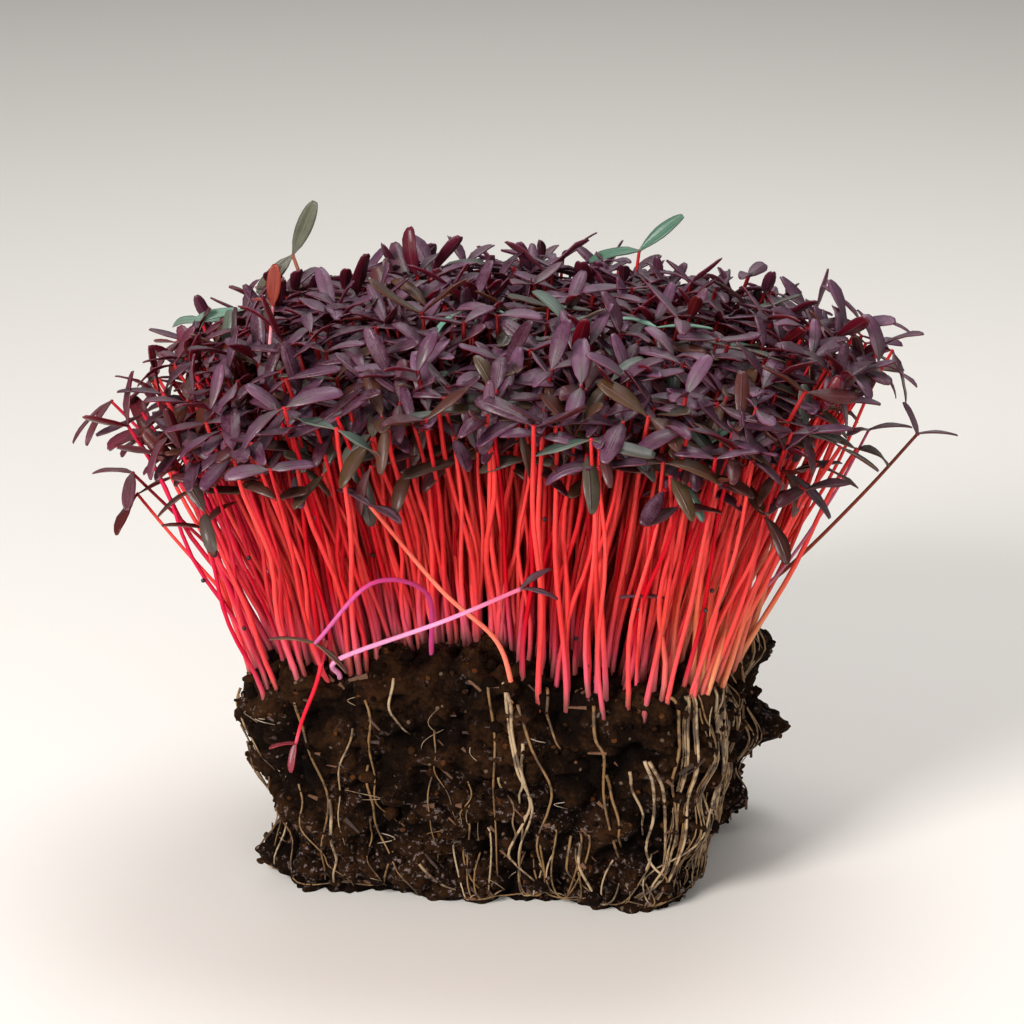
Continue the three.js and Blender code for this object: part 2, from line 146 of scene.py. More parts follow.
class Shader:
    """A material under construction, with one principled surface."""

    def __init__(self, name: str) -> None:
        """Start an empty material of that name."""
        self.material = bpy.data.materials.new(name)
        self.material.use_nodes = True
        self.tree = self.material.node_tree
        self.tree.nodes.clear()
        self.surface = self.tree.nodes.new("ShaderNodeBsdfPrincipled")
        output = self.tree.nodes.new("ShaderNodeOutputMaterial")
        self.tree.links.new(self.surface.outputs["BSDF"], output.inputs["Surface"])

    def node(self, kind: str, settings: dict | None = None, inputs: dict | None = None,
             output: int | str = 0) -> Signal:
        """Add any node.

        Args:
            kind: The node's type.
            settings: Its properties, and a ramp's stops under "stops", which are set first.
            inputs: Values or signals by socket number or name.
            output: The output that is returned.

        Returns:
            That output as a signal.
        """
        made = self.tree.nodes.new(kind)
        for key, value in (settings or {}).items():
            if key == "stops":
                self._set_stops(made.color_ramp, value)
            else:
                setattr(made, key, value)
        for key, value in (inputs or {}).items():
            if isinstance(value, Signal):
                self.tree.links.new(value.socket, made.inputs[key])
            else:
                made.inputs[key].default_value = value
        return Signal(self, made.outputs[output])

    @staticmethod
    def _set_stops(ramp: bpy.types.ColorRamp, stops: list[tuple[float, Colour]]) -> None:
        """Give a ramp its stops."""
        while len(ramp.elements) < len(stops):
            ramp.elements.new(0.5)
        for element, (place, colour) in zip(ramp.elements, stops):
            element.position = place
            element.color = (*colour, 1.0)

    def ramp(self, factor: Signal, stops: list[tuple[float, Colour]]) -> Signal:
        """Colour a signal by a ramp's stops."""
        return self.node("ShaderNodeValToRGB", {"stops": stops}, {"Fac": factor})

    def mix(self, factor: "Signal | float", a: "Signal | Colour", b: "Signal | Colour") -> Signal:
        """Mix two colours.

        Args:
            factor: 0 for a, 1 for b.
            a: The first colour.
            b: The second colour.

        Returns:
            The mixed colour.
        """
        first = a if isinstance(a, Signal) else (*a, 1.0)
        second = b if isinstance(b, Signal) else (*b, 1.0)
        return self.node("ShaderNodeMix", {"data_type": "RGBA"}, {0: factor, 6: first, 7: second}, 2)

    def noise(self, scale: float, detail: float = 3.0, roughness: float = 0.55) -> Signal:
        """Return a cloud noise on Object coordinates, its scale in cells per metre."""
        place = self.node("ShaderNodeTexCoord", output="Object")
        inputs = {"Vector": place, "Scale": scale, "Detail": detail, "Roughness": roughness}
        return self.node("ShaderNodeTexNoise", None, inputs)

    def cells(self, scale: float, output: str = "Distance") -> Signal:
        """Return a cell pattern on Object coordinates, its scale in cells per metre."""
        place = self.node("ShaderNodeTexCoord", output="Object")
        return self.node("ShaderNodeTexVoronoi", None, {"Vector": place, "Scale": scale}, output)

    def place(self, axis: str) -> Signal:
        """Return one Object coordinate, in metres, by its axis X, Y or Z."""
        place = self.node("ShaderNodeTexCoord", output="Object")
        return self.node("ShaderNodeSeparateXYZ", None, {0: place}, axis)

    def inner(self) -> Signal:
        """Return the tint attribute's fourth channel: how deep inside the stand a point is."""
        return self.node("ShaderNodeAttribute", {"attribute_name": TINT}, None, "Alpha")

    def tint(self) -> tuple[Signal, Signal, Signal]:
        """Return the first three channels of the piece's own tint attribute."""
        colour = self.node("ShaderNodeAttribute", {"attribute_name": TINT}, None, "Color")
        split = self.node("ShaderNodeSeparateColor", None, {0: colour})
        outputs = split.socket.node.outputs
        return Signal(self, outputs[0]), Signal(self, outputs[1]), Signal(self, outputs[2])

    def across(self) -> Signal:
        """Return how far across a blade a point is, 0 at the midrib and 1 at either margin."""
        place = self.node("ShaderNodeUVMap")
        u = self.node("ShaderNodeSeparateXYZ", None, {0: place}, "X")
        return abs(u - 0.5) * 2.0

    def along(self) -> Signal:
        """Return how far along a blade a point is, 0 at its foot and 1 at its tip."""
        place = self.node("ShaderNodeUVMap")
        return self.node("ShaderNodeSeparateXYZ", None, {0: place}, "Y")

    def bump(self, height: Signal, distance: float) -> Signal:
        """Turn a height signal into a normal, the distance in metres."""
        return self.node("ShaderNodeBump", None, {"Height": height, "Distance": distance})

    def finish(self, **sockets: "Signal | float | Colour") -> bpy.types.Material:
        """Feed the surface's sockets.

        Args:
            sockets: Values or signals, with the socket names in lower case and underscores.

        Returns:
            The finished material.
        """
        names = {socket.name.lower().replace(" ", "_"): socket for socket in self.surface.inputs}
        for key, value in sockets.items():
            target = names[key]
            if isinstance(value, Signal):
                self.tree.links.new(value.socket, target)
            elif isinstance(value, tuple) and target.type == "RGBA":
                target.default_value = (*value, 1.0)
            else:
                target.default_value = value
        return self.material


@dataclass(frozen=True)
class SoilFinish:
    """Moist potting soil: near black, with painted shade in its creases, brown fibres, pale specks and
    painted glints on wet spots.
    """

    deep: Colour = (0.0014, 0.0005, 0.0002)
    body: Colour = (0.006, 0.0021, 0.0007)
    lightest_tone: Colour = (0.036, 0.014, 0.0045)
    bark: Colour = (0.11, 0.036, 0.01)
    pale: Colour = (0.18, 0.12, 0.08)
    painted_glint: Colour = (0.2, 0.145, 0.135)
    grain_scale: float = 900.0
    patch_scale: float = 85.0
    bit_scale: float = 620.0
    damp_scale: float = 170.0
    spark_scale: float = 950.0
    pit_scale: float = 2600.0
    wet_foot: Band = (40 * MM, 8 * MM)
    relief: float = 1.2 * MM

    def material(self) -> bpy.types.Material:
        """Return the soil's material."""
        shader = Shader("potting_soil")
        height, _, _ = shader.tint()
        grain = shader.noise(self.grain_scale, 6.0, 0.65)
        patch = shader.noise(self.patch_scale, 3.0)
        # Random tone from the noise, plus painted shade: the clod height darkens the creases and
        # lightens the clod tops.
        tone_and_crease_shade = grain * 0.5 + patch * 0.3 + height * 0.42
        colour = shader.ramp(tone_and_crease_shade, [(0.4, self.deep), (0.6, self.body), (0.85, self.lightest_tone)])
        bits = shader.cells(self.bit_scale, "Color")
        pick = shader.node("ShaderNodeSeparateColor", None, {0: bits})
        size = shader.cells(self.bit_scale)
        barky = pick.eased(0.95, 0.965) * size.eased(0.42, 0.3) * 0.7
        colour = shader.mix(barky, colour, self.bark)
        other_pick = Signal(shader, pick.socket.node.outputs[1])
        pale = other_pick.eased(0.955, 0.965) * size.eased(0.3, 0.22) * 0.6
        colour = shader.mix(pale, colour, self.pale)
        low = shader.place("Z").eased(*self.wet_foot)
        wet = shader.noise(self.damp_scale, 2.0) + low * 0.2 - 0.09
        damp = wet.eased(0.44, 0.64) * height.eased(0.2, 0.6)
        # Wet spots on the clod tops are glossier, and they also get a painted glint colour.
        spark = shader.noise(self.spark_scale, 4.0).eased(0.56, 0.66) * damp
        colour = shader.mix(spark * 0.75, colour, self.painted_glint)
        relief = grain * 0.7 + shader.noise(self.pit_scale, 3.0) * 0.3
        return shader.finish(
            base_color=colour,
            roughness=0.85 - spark * 0.6,
            specular_ior_level=0.06,
            normal=shader.bump(relief, self.relief),
        )


@dataclass(frozen=True)
class BarkFinish:
    """Slivers of bark and fibre in the soil, from tan to orange brown."""

    dark: Colour = (0.015, 0.006, 0.0025)
    light: Colour = (0.11, 0.042, 0.014)
    fibre_scale: float = 1800.0
    relief: float = 0.3 * MM

    def material(self) -> bpy.types.Material:
        """Return the bark's material."""
        shader = Shader("bark_bits")
        _, kind, _ = shader.tint()
        grain = shader.noise(self.fibre_scale, 4.0)
        colour = shader.mix((kind * 0.8 + grain * 0.4).eased(0.2, 1.0), self.dark, self.light)
        normal = shader.bump(grain, self.relief)
        return shader.finish(base_color=colour, roughness=0.75, normal=normal)


@dataclass(frozen=True)
class RootFinish:
    """Thin fibrous roots: tan, soiled brown in places and whitish where they are young."""

    name: str
    soiled: Colour = (0.04, 0.018, 0.007)
    tan: Colour = (0.17, 0.086, 0.025)
    young: Colour = (0.36, 0.255, 0.15)
    soiling_scale: float = 330.0
    grain_scale: float = 2400.0
    relief: float = 0.12 * MM

    def material(self) -> bpy.types.Material:
        """Return the roots' material."""
        shader = Shader(self.name)
        along, kind, _ = shader.tint()
        soiling = shader.noise(self.soiling_scale, 4.0)
        colour = shader.mix(kind.eased(0.45, 1.0), self.tan, self.young)
        colour = shader.mix(soiling.eased(0.46, 0.62) * 0.88, colour, self.soiled)
        colour = shader.mix(along.eased(0.8, 1.0) * 0.5, colour, self.soiled)
        normal = shader.bump(shader.noise(self.grain_scale, 3.0), self.relief)
        return shader.finish(base_color=colour, roughness=0.6, normal=normal)


@dataclass(frozen=True)
class StemFinish:
    """Juicy seedling stems: coral to crimson, magenta at the left and tan at the right-hand corner.

    The bands are places across the block, and the shares of the height are counted from the foot.
    """

    name: str
    coral: Colour = (0.78, 0.062, 0.055)
    crimson: Colour = (0.43, 0.0012, 0.009)
    foot: Colour = (0.6, 0.1, 0.18)
    neck_tone_and_shade: Colour = (0.3, 0.003, 0.006)
    shade: Colour = (0.08, 0.0004, 0.001)
    magenta: Colour = (0.55, 0.012, 0.07)
    tan: Colour = (0.72, 0.3, 0.12)
    buried: Colour = (0.22, 0.1, 0.07)
    left_band: Band = (-32 * MM, -66 * MM)
    corner_band: Band = (34 * MM, 48 * MM)
    foot_share: Band = (0.34, 0.03)
    tan_share: Band = (0.55, 0.08)
    buried_share: Band = (0.13, 0.05)
    neck_shade_share: Band = (0.72, 0.95)
    shade_share: Band = (0.55, 0.8)
    mottle_scale: float = 420.0
    ripple_scale: float = 1500.0
    ripple: float = 0.06 * MM
    glow: tuple[float, float, float] = (1.4 * MM, 0.2 * MM, 0.12 * MM)

    def material(self) -> bpy.types.Material:
        """Return the stems' material."""
        shader = Shader(self.name)
        along, kind, pale = shader.tint()
        mottle = shader.noise(self.mottle_scale, 3.0)
        redness = (kind + mottle * 0.3 - 0.15).eased(0.1, 0.9)
        colour = shader.mix(redness, self.coral, self.crimson)
        across = shader.place("X")
        left = across.eased(*self.left_band)
        colour = shader.mix(left * kind.eased(0.1, 0.6) * 0.8, colour, self.magenta)
        colour = shader.mix(along.eased(*self.foot_share) * pale, colour, self.foot)
        corner = across.eased(*self.corner_band) * along.eased(*self.tan_share)
        colour = shader.mix(corner * pale.eased(0.2, 0.7) * 0.8, colour, self.tan)
        colour = shader.mix(along.eased(*self.buried_share) * 0.6, colour, self.buried)
        # Painted shade: the necks under the leaves are darkened. For some strays the neck colour is a
        # tip tone of their own.
        colour = shader.mix(along.eased(*self.neck_shade_share) * 0.6, colour, self.neck_tone_and_shade)
        shaded = along.eased(*self.shade_share) * shader.inner() * 0.92
        colour = shader.mix(shaded, colour, self.shade)
        ripple = shader.noise(self.ripple_scale, 2.0)
        return shader.finish(
            base_color=colour,
            roughness=0.45,
            specular_ior_level=0.1,
            subsurface_weight=0.4,
            subsurface_radius=self.glow,
            subsurface_scale=1.0,
            normal=shader.bump(ripple, self.ripple),
        )


@dataclass(frozen=True)
class LeafFinish:
    """Seed leaves: a dusty upper face with a painted sheen, of its own colour by kind, and a deep red
    underside.

    The undersides are plum towards the back, and the leaves at the far left get a painted red of light
    shining through them.
    """

    name: str
    upper: tuple[tuple[float, Colour], ...]
    under: tuple[tuple[float, Colour], ...]
    rib: Colour = (0.16, 0.06, 0.08)
    dust_and_sheen: Colour = (0.23, 0.13, 0.2)
    sage: Colour = (0.11, 0.12, 0.1)
    painted_backlit_red: Colour = (0.11, 0.004, 0.008)
    heel: Colour = (0.3, 0.012, 0.02)
    plum: Colour = (0.075, 0.024, 0.05)
    deep: Colour = (0.022, 0.0008, 0.0018)
    back_band: Band = (-10 * MM, 45 * MM)
    left_band: Band = (-42 * MM, -78 * MM)
    plum_kinds: Band = (0.76, 0.66)
    cloud_scale: float = 380.0
    speck_scale: float = 3200.0
    vein_scale: float = 900.0
    relief: float = 0.12 * MM

    def material(self) -> bpy.types.Material:
        """Return the leaves' material."""
        shader = Shader(self.name)
        side, kind, shade = shader.tint()
        across = shader.across()
        along = shader.along()
        cloud = shader.noise(self.cloud_scale, 3.0)
        speck = shader.noise(self.speck_scale, 2.0)
        top = shader.ramp(kind, list(self.upper))
        plum = kind.eased(*self.plum_kinds)
        # Partly the leaves' dusty bloom and partly a painted silvery sheen.
        dusting_and_sheen = (speck * 0.55 + cloud * 0.6).eased(0.4, 0.8) * (plum * 0.32 + 0.1)
        top = shader.mix(dusting_and_sheen, top, self.dust_and_sheen)
        greening = along.eased(0.75, 0.1) * kind.eased(0.12, 0.5) * across.eased(1.0, 0.3)
        top = shader.mix(greening * (plum * 0.6 + 0.15), top, self.sage)
        midrib = across.eased(0.16, 0.03) * along.eased(1.0, 0.75)
        top = shader.mix(midrib * 0.35, top, self.rib)
        margin = across.eased(0.8, 1.0)
        bottom = shader.ramp(kind, list(self.under))
        back = shader.place("Y").eased(*self.back_band)
        bottom = shader.mix(back * 0.75, bottom, self.plum)
        top = shader.mix(margin * 0.35, top, bottom)
        bottom = shader.mix(midrib * 0.25, bottom, self.rib)
        colour = shader.mix(side, top, bottom)
        colour = shader.mix(along.eased(0.16, 0.02) * 0.7, colour, self.heel)
        # Painted light: the red of light shining through the leaves at the far left.
        left = shader.place("X").eased(*self.left_band)
        colour = shader.mix(left * kind.eased(0.15, 0.5) * 0.75, colour, self.painted_backlit_red)
        colour = shader.mix(shade * 0.8, colour, self.deep)
        veins = shader.noise(self.vein_scale, 2.0) * 0.5 + midrib * 0.8
        return shader.finish(
            base_color=colour,
            roughness=0.36,
            specular_ior_level=0.3,
            normal=shader.bump(veins, self.relief),
        )


@dataclass(frozen=True)
class HullFinish:
    """Shiny black amaranth seed hulls, worn brown in places."""

    black: Colour = (0.008, 0.006, 0.006)
    worn: Colour = (0.06, 0.035, 0.025)
    grain_scale: float = 2600.0
    relief: float = 0.05 * MM

    def material(self) -> bpy.types.Material:
        """Return the hulls' material."""
        shader = Shader("seed_hulls")
        grain = shader.noise(self.grain_scale, 2.0)
        colour = shader.mix(grain.eased(0.55, 0.75), self.black, self.worn)
        normal = shader.bump(grain, self.relief)
        return shader.finish(base_color=colour, roughness=0.28, normal=normal)


PLUM_UPPER = (
    (0.0, (0.026, 0.001, 0.005)),
    (0.18, (0.042, 0.004, 0.015)),
    (0.4, (0.075, 0.019, 0.052)),
    (0.6, (0.13, 0.055, 0.1)),
    (0.72, (0.062, 0.006, 0.009)),
    (0.84, (0.06, 0.032, 0.008)),
    (0.93, (0.06, 0.08, 0.066)),
    (1.0, (0.085, 0.17, 0.125)),
)
PLUM_UNDER = (
    (0.0, (0.05, 0.0012, 0.005)),
    (0.5, (0.1, 0.0012, 0.006)),
    (0.8, (0.07, 0.012, 0.003)),
    (1.0, (0.1, 0.05, 0.04)),
)


def new_piece(name: str, bm: bmesh.types.BMesh, material: bpy.types.Material,
              nodes: tuple[str, ...] = (), smooth: bool = True) -> bpy.types.Object:
    """Turn a finished bmesh into a piece that rides on the part.

    Args:
        name: The piece's name.
        bm: Its mesh, which is freed.
        material: Its finish.
        nodes: The CAD nodes that it stands in for.
        smooth: Whether its faces are shaded smooth.

    Returns:
        The new object.
    """
    mesh = bpy.data.meshes.new(name)
    bm.to_mesh(mesh)
    bm.free()
    mesh.polygons.foreach_set("use_smooth", [smooth] * len(mesh.polygons))
    mesh.materials.append(material)
    piece = bpy.data.objects.new(name, mesh)
    bpy.context.scene.collection.objects.link(piece)
    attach(piece, BODY)
    for node in nodes:
        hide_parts(node)
    LOG.info("%s: %d faces", name, len(mesh.polygons))
    return piece


@dataclass(frozen=True)
class Clump:
    """A rounded swelling, or hollow, of the block: its place on the box and how far it stands out."""

    x: float
    y: float
    z: float
    out: float
    size: float


@dataclass(frozen=True)
class SoilForm:
    """The outer form of the block, as a map from the surface of a box with corners at -1 and 1.

    Its clods, knobs and grit stand out by the sizes given, at so many to a metre by their scales.
    """

    height: float = 51 * MM
    half_width: float = 50 * MM
    half_depth: float = 41 * MM
    corner: float = 15 * MM
    edge: float = 5 * MM
    foot_share: float = 0.88
    flare: float = 1.6
    lump: float = 1.2 * MM
    clod: float = 4.0 * MM
    knob: float = 2.7 * MM
    grit: float = 1.4 * MM
    relief: float = 7.2 * MM
    clod_scale: float = 105.0
    knob_scale: float = 235.0
    grit_scale: float = 480.0
    hill_scale: float = 55.0
    hill_share: float = 0.45
    warp_scale: float = 150.0
    warp: float = 2.2 * MM
    crease: float = 0.72
    top_from: float = 0.86
    lowest: float = 0.15 * MM
    clumps: tuple[Clump, ...] = (
        Clump(1, 0.62, -0.2, 12 * MM, 0.27),
        Clump(1, 0.6, 0.55, 9 * MM, 0.22),
        Clump(1, 0.45, -0.78, 7 * MM, 0.22),
        Clump(-1, -0.7, -0.8, 3 * MM, 0.2),
        Clump(-1, -0.7, 0.45, 3 * MM, 0.22),
        Clump(-1, -0.7, -0.25, -2.5 * MM, 0.3),
        Clump(0.3, 1, 0.3, 4 * MM, 0.3),
        Clump(-0.6, 1, -0.5, 3.5 * MM, 0.3),
    )
    mound_x: float = -0.12
    mound_y: float = -0.85
    mound_rise: float = 4.5 * MM
    mound_width: float = 0.36
    mound_depth: float = 0.5

    def plan(self, x: float, y: float) -> tuple[float, float]:
        """Return a point of the plan, whose square corners are drawn in to arcs."""
        px, py = self.half_width * x, self.half_depth * y
        in_x, in_y = self.half_width - self.corner, self.half_depth - self.corner
        core_x = min(in_x, max(-in_x, px))
        core_y = min(in_y, max(-in_y, py))
        out_x, out_y = px - core_x, py - core_y
        length = math.hypot(out_x, out_y)
        pull = max(abs(out_x), abs(out_y)) / length if length > 0 else 1.0
        return core_x + out_x * pull, core_y + out_y * pull

    def _eased_edge(self, x: float, y: float, z: float) -> tuple[float, float, float]:
        """Round the edge between the sides and the top or the underside."""
        side = max(abs(x), abs(y))
        edge = self.edge if z > 0 else 0.5 * self.edge
        in_side = edge / self.half_depth
        in_rise = 2.0 * edge / self.height
        a = (side - (1.0 - in_side)) / in_side
        b = (abs(z) - (1.0 - in_rise)) / in_rise
        if a <= 0 or b <= 0:
            return x, y, z
        pull = max(a, b) / math.hypot(a, b)
        new_side = 1.0 - in_side + in_side * a * pull
        new_rise = 1.0 - in_rise + in_rise * b * pull
        return x * new_side / side, y * new_side / side, math.copysign(new_rise, z)

    def _share(self, rise: float) -> float:
        """Return the block's width at a share of its height, as a share of its width at the top."""
        return self.foot_share + (1.0 - self.foot_share) * min(1.0, self.flare * rise)

    def swelling(self, x: float, y: float, z: float) -> float:
        """Return how far the block's broad lumps stand out at a place on the box.

        Two uneven waves make the lumps, and the clumps are added to them.
        """
        wave = math.sin(7.1 * x + 3.3 * z + 1.7) * math.sin(5.9 * z - 4.2 * y + 0.4)
        wave += 0.6 * math.sin(11.3 * y + 6.1 * x) * math.sin(9.7 * x - 8.3 * z + 2.1)
        out = self.lump * wave
        for clump in self.clumps:
            away = (x - clump.x) ** 2 + (y - clump.y) ** 2 + (z - clump.z) ** 2
            out += clump.out * math.exp(-away / clump.size ** 2)
        return out

    def mound(self, x: float, y: float) -> float:
        """Return how far the top rises behind the middle of its front edge."""
        across = (x - self.mound_x) / self.mound_width
        inward = (y - self.mound_y) / self.mound_depth
        return self.mound_rise * math.exp(-(across ** 2 + inward ** 2))

    def coarse(self, x: float, y: float, z: float) -> tuple[Vector, Vector]:
        """Place a point of the box on the block, without its clods.

        Args:
            x: Place from the left, -1, to the right, 1.
            y: Place from the front, -1, to the back, 1.
            z: Place from the underside, -1, to the top, 1.

        Returns:
            The point, and the direction out of the soil there.
        """
        swell = self.swelling(x, y, z)
        ex, ey, ez = self._eased_edge(x, y, z)
        rise = (ez + 1.0) / 2.0
        share = self._share(rise)
        px, py = self.plan(ex, ey)
        side = Vector((x ** 5, y ** 5, 0.0))
        reach = min(1.0, side.length)
        out = side.normalized() if side.length > 1e-9 else Vector((0.0, 0.0, 0.0))
        point = Vector((px * share, py * share, self.height * rise)) + out * reach * swell
        point.z += rise ** 6 * (swell * 0.5 * (1.0 - 0.6 * reach) + self.mound(x, y))
        top = smooth_step(self.top_from, 1.0, z) * (1.0 - reach ** 4 * 0.6)
        direction = (out * reach * (1.0 - top) + UP * top) if top > 0 else out * reach
        return point, direction

    def clods(self, point: Vector) -> float:
        """Return how far the clods and grit stand out at a point."""
        warped = point + noise.noise_vector(point * self.warp_scale) * self.warp
        big = self._dome(warped * self.clod_scale)
        middle = self._dome(warped * self.knob_scale)
        small = self._dome(warped * self.grit_scale)
        hills = noise.fractal(point * self.hill_scale, 0.9, 2.1, 3)
        big += self.hill_share * hills
        return self.clod * big + self.knob * middle + self.grit * small

    def _dome(self, place: Vector) -> float:
        """Return a field of rounded clods with deep creases between them, about 0 on average."""
        near, _ = noise.voronoi(place)
        return math.sqrt(max(0.01, 1.0 - (near[0] / self.crease) ** 2)) - 0.68

    def point(self, x: float, y: float, z: float) -> tuple[Vector, float]:
        """Place a point of the box on the finished, clodded surface.

        Args:
            x: Place from the left, -1, to the right, 1.
            y: Place from the front, -1, to the back, 1.
            z: Place from the underside, -1, to the top, 1.

        Returns:
            The point, and its height among the clods, from 0 in a crease to 1 on the highest clod.
        """
        place, direction = self.coarse(x, y, z)
        clods = self.clods(place)
        place += direction * clods
        place.z = 0.0 if z <= -0.9999 else max(place.z, self.lowest)
        return place, min(1.0, max(0.0, 0.55 + clods / self.relief))

    def front(self, across: float, rise: float) -> tuple[float, float]:
        """Find a place on the front of the block.

        Args:
            across: How far it is to the right of the middle, in metres.
            rise: Its share of the block's height.

        Returns:
            Its turn about the middle and its height on the box.
        """
        half = self.half_width * self._share(rise)
        return math.atan2(-1.0, across / half), 2.0 * rise - 1.0

    def ring(self, turn: float) -> tuple[float, float]:
        """Return the box place in the direction of a turn about the middle, 0 being +X."""
        c, s = math.cos(turn), math.sin(turn)
        far = max(abs(c), abs(s))
        return c / far, s / far


@dataclass
class SoilBlock:
    """The block of potting soil, its loose crumbs and its slivers of bark.

    The sizes of crumbs and slivers are in millimetres.
    """

    form: SoilForm
    cuts: int = 108
    crumbs: int = 3000
    large_share: float = 0.13
    large_radius: Band = (0.9, 1.9)
    small_radius: Band = (0.35, 0.85)
    top_share: float = 0.42
    slivers: int = 340
    sliver_length: Band = (1.2, 4.5)
    sliver_width: Band = (0.3, 1.2)
    sliver_thickness: Band = (0.25, 0.6)
    sliver_top_share: float = 0.35
    seed: int = 11

    def build(self) -> None:
        """Make all the soil's pieces."""
        finish = SoilFinish().material()
        self._block(finish)
        self._crumbs(finish)
        self._slivers(BarkFinish().material())

    def _block(self, finish: bpy.types.Material) -> None:
        """Make the block from a finely cut box."""
        bm = bmesh.new()
        bmesh.ops.create_cube(bm, size=2.0)
        bmesh.ops.subdivide_edges(bm, edges=bm.edges[:], cuts=self.cuts, use_grid_fill=True)
        layer = bm.verts.layers.float_color.new(TINT)
        for vert in bm.verts:
            vert.co, height = self.form.point(*vert.co)
            vert[layer] = (height, 0.0, 0.0, 1.0)
        bmesh.ops.recalc_face_normals(bm, faces=bm.faces[:])
        new_piece("potting_soil", bm, finish, ("soil_block",))

    def _scatter(self, rng: random.Random, top_share: float) -> tuple[Vector, Vector]:
        """Pick a place on the block's outside.

        Args:
            rng: The seeded draw.
            top_share: The share of places on the top.

        Returns:
            The point and the direction out of the soil there.
        """
        if rng.random() < top_share:
            x, y, z = rng.uniform(-0.97, 0.97), rng.uniform(-0.97, 0.97), 1.0
        else:
            x, y = self.form.ring(rng.uniform(0.0, 2.0 * math.pi))
            z = rng.uniform(-0.97, 0.97)
        place, direction = self.form.coarse(x, y, z)
        place += direction * self.form.clods(place)
        return place, direction

    def _crumbs(self, finish: bpy.types.Material) -> None:
        """Scatter half-sunk crumbs over the sides and the top."""
        rng = random.Random(self.seed)
        bm = bmesh.new()
        layer = bm.verts.layers.float_color.new(TINT)
        for i in range(self.crumbs):
            place, direction = self._scatter(rng, self.top_share)
            large = rng.random() < self.large_share
            radius = rng.uniform(*(self.large_radius if large else self.small_radius)) * MM
            made = bmesh.ops.create_icosphere(bm, subdivisions=2 if large else 1, radius=radius)
            squash = Vector((rng.uniform(0.7, 1.2), rng.uniform(0.7, 1.2), rng.uniform(0.6, 1.0)))
            centre = place + direction * radius * rng.uniform(-0.1, 0.5)
            centre.z = max(centre.z, radius * 1.15)
            height = rng.uniform(0.35, 0.9)
            for vert in made["verts"]:
                vert[layer] = (height, 0.0, 0.0, 1.0)
                knob = 1.0 + 0.35 * noise.noise(vert.co * (0.9 / radius) + Vector((i, 0, 0)))
                vert.co = centre + vert.co * squash * knob
        new_piece("soil_crumbs", bm, finish)

    def _slivers(self, finish: bpy.types.Material) -> None:
        """Lay thin slivers of bark and fibre against the soil."""
        rng = random.Random(self.seed + 1)
        bm = bmesh.new()
        layer = bm.verts.layers.float_color.new(TINT)
        for _ in range(self.slivers):
            place, direction = self._scatter(rng, self.sliver_top_share)
            made = bmesh.ops.create_cube(bm, size=1.0)
            lie = direction.orthogonal().normalized()
            tilt = direction if rng.random() < 0.5 else UP
            lie.rotate(tilt.to_track_quat("Z", "Y"))
            cross = direction.cross(lie).normalized()
            lie = cross.cross(direction).normalized()
            long = rng.uniform(*self.sliver_length) * MM
            wide = rng.uniform(*self.sliver_width) * MM
            thick = rng.uniform(*self.sliver_thickness) * MM
            kind = rng.random()
            for vert in made["verts"]:
                taper = 1.0 if vert.co.x < 0 else rng.uniform(0.2, 0.7)
                body = lie * vert.co.x * long + cross * vert.co.y * wide * taper
                vert.co = place + body + direction * (vert.co.z + 0.35) * thick
                vert.co.z = max(vert.co.z, 0.1 * MM)
                vert[layer] = (0.0, kind, 0.0, 1.0)
        new_piece("bark_bits", bm, finish, smooth=False)


class Tube:
    """A straight tube with rings, which is laid along a path again and again."""

    def __init__(self, sides: int, rings: int) -> None:
        """Make the tube.

        Args:
            sides: The sides of its section.
            rings: The rings from end to end.
        """
        bm = bmesh.new()
        bmesh.ops.create_cone(bm, cap_ends=True, segments=sides, radius1=1.0, radius2=1.0, depth=1.0)
        lengthwise = [edge for edge in bm.edges if abs(edge.verts[0].co.z - edge.verts[1].co.z) > 0.5]
        bmesh.ops.subdivide_edges(bm, edges=lengthwise, cuts=rings - 2)
        self.mesh = bpy.data.meshes.new("tube")
        bm.to_mesh(self.mesh)
        bm.free()
        self.mesh.attributes.new(TINT, "FLOAT_COLOR", "POINT")
        flat = np.empty(len(self.mesh.vertices) * 3)
        self.mesh.vertices.foreach_get("co", flat)
        self.shape = flat.reshape(-1, 3)
        self.rings = rings
        self.ring = np.rint((self.shape[:, 2] + 0.5) * (rings - 1)).astype(int)

    def lay(self, bm: bmesh.types.BMesh, path: np.ndarray, radii: np.ndarray,
            kind: float, pale: float, inner: float = 0.0) -> None:
        """Add a copy of the tube along a path.

        Args:
            bm: The mesh that it is added to.
            path: One point for each ring.
            radii: One radius for each ring.
            kind: The tint's second channel.
            pale: The tint's third channel.
            inner: The tint's fourth channel.
        """
        ahead = np.gradient(path, axis=0)
        ahead /= np.linalg.norm(ahead, axis=1, keepdims=True)
        start = np.array(Vector(ahead[0]).orthogonal().normalized())
        sides = np.empty_like(path)
        for i, direction in enumerate(ahead):
            start = start - direction * start.dot(direction)
            start /= np.linalg.norm(start)
            sides[i] = start
        others = np.cross(ahead, sides)
        at = self.ring
        width = radii[at][:, None]
        placed = path[at] + width * (self.shape[:, :1] * sides[at] + self.shape[:, 1:2] * others[at])
        self.mesh.vertices.foreach_set("co", placed.ravel())
        tint = np.ones((len(placed), 4))
        tint[:, 0] = at / (self.rings - 1)
        tint[:, 1] = kind
        tint[:, 2] = pale
        tint[:, 3] = inner
        self.mesh.attributes[TINT].data.foreach_set("color", tint.ravel())
        bm.from_mesh(self.mesh)


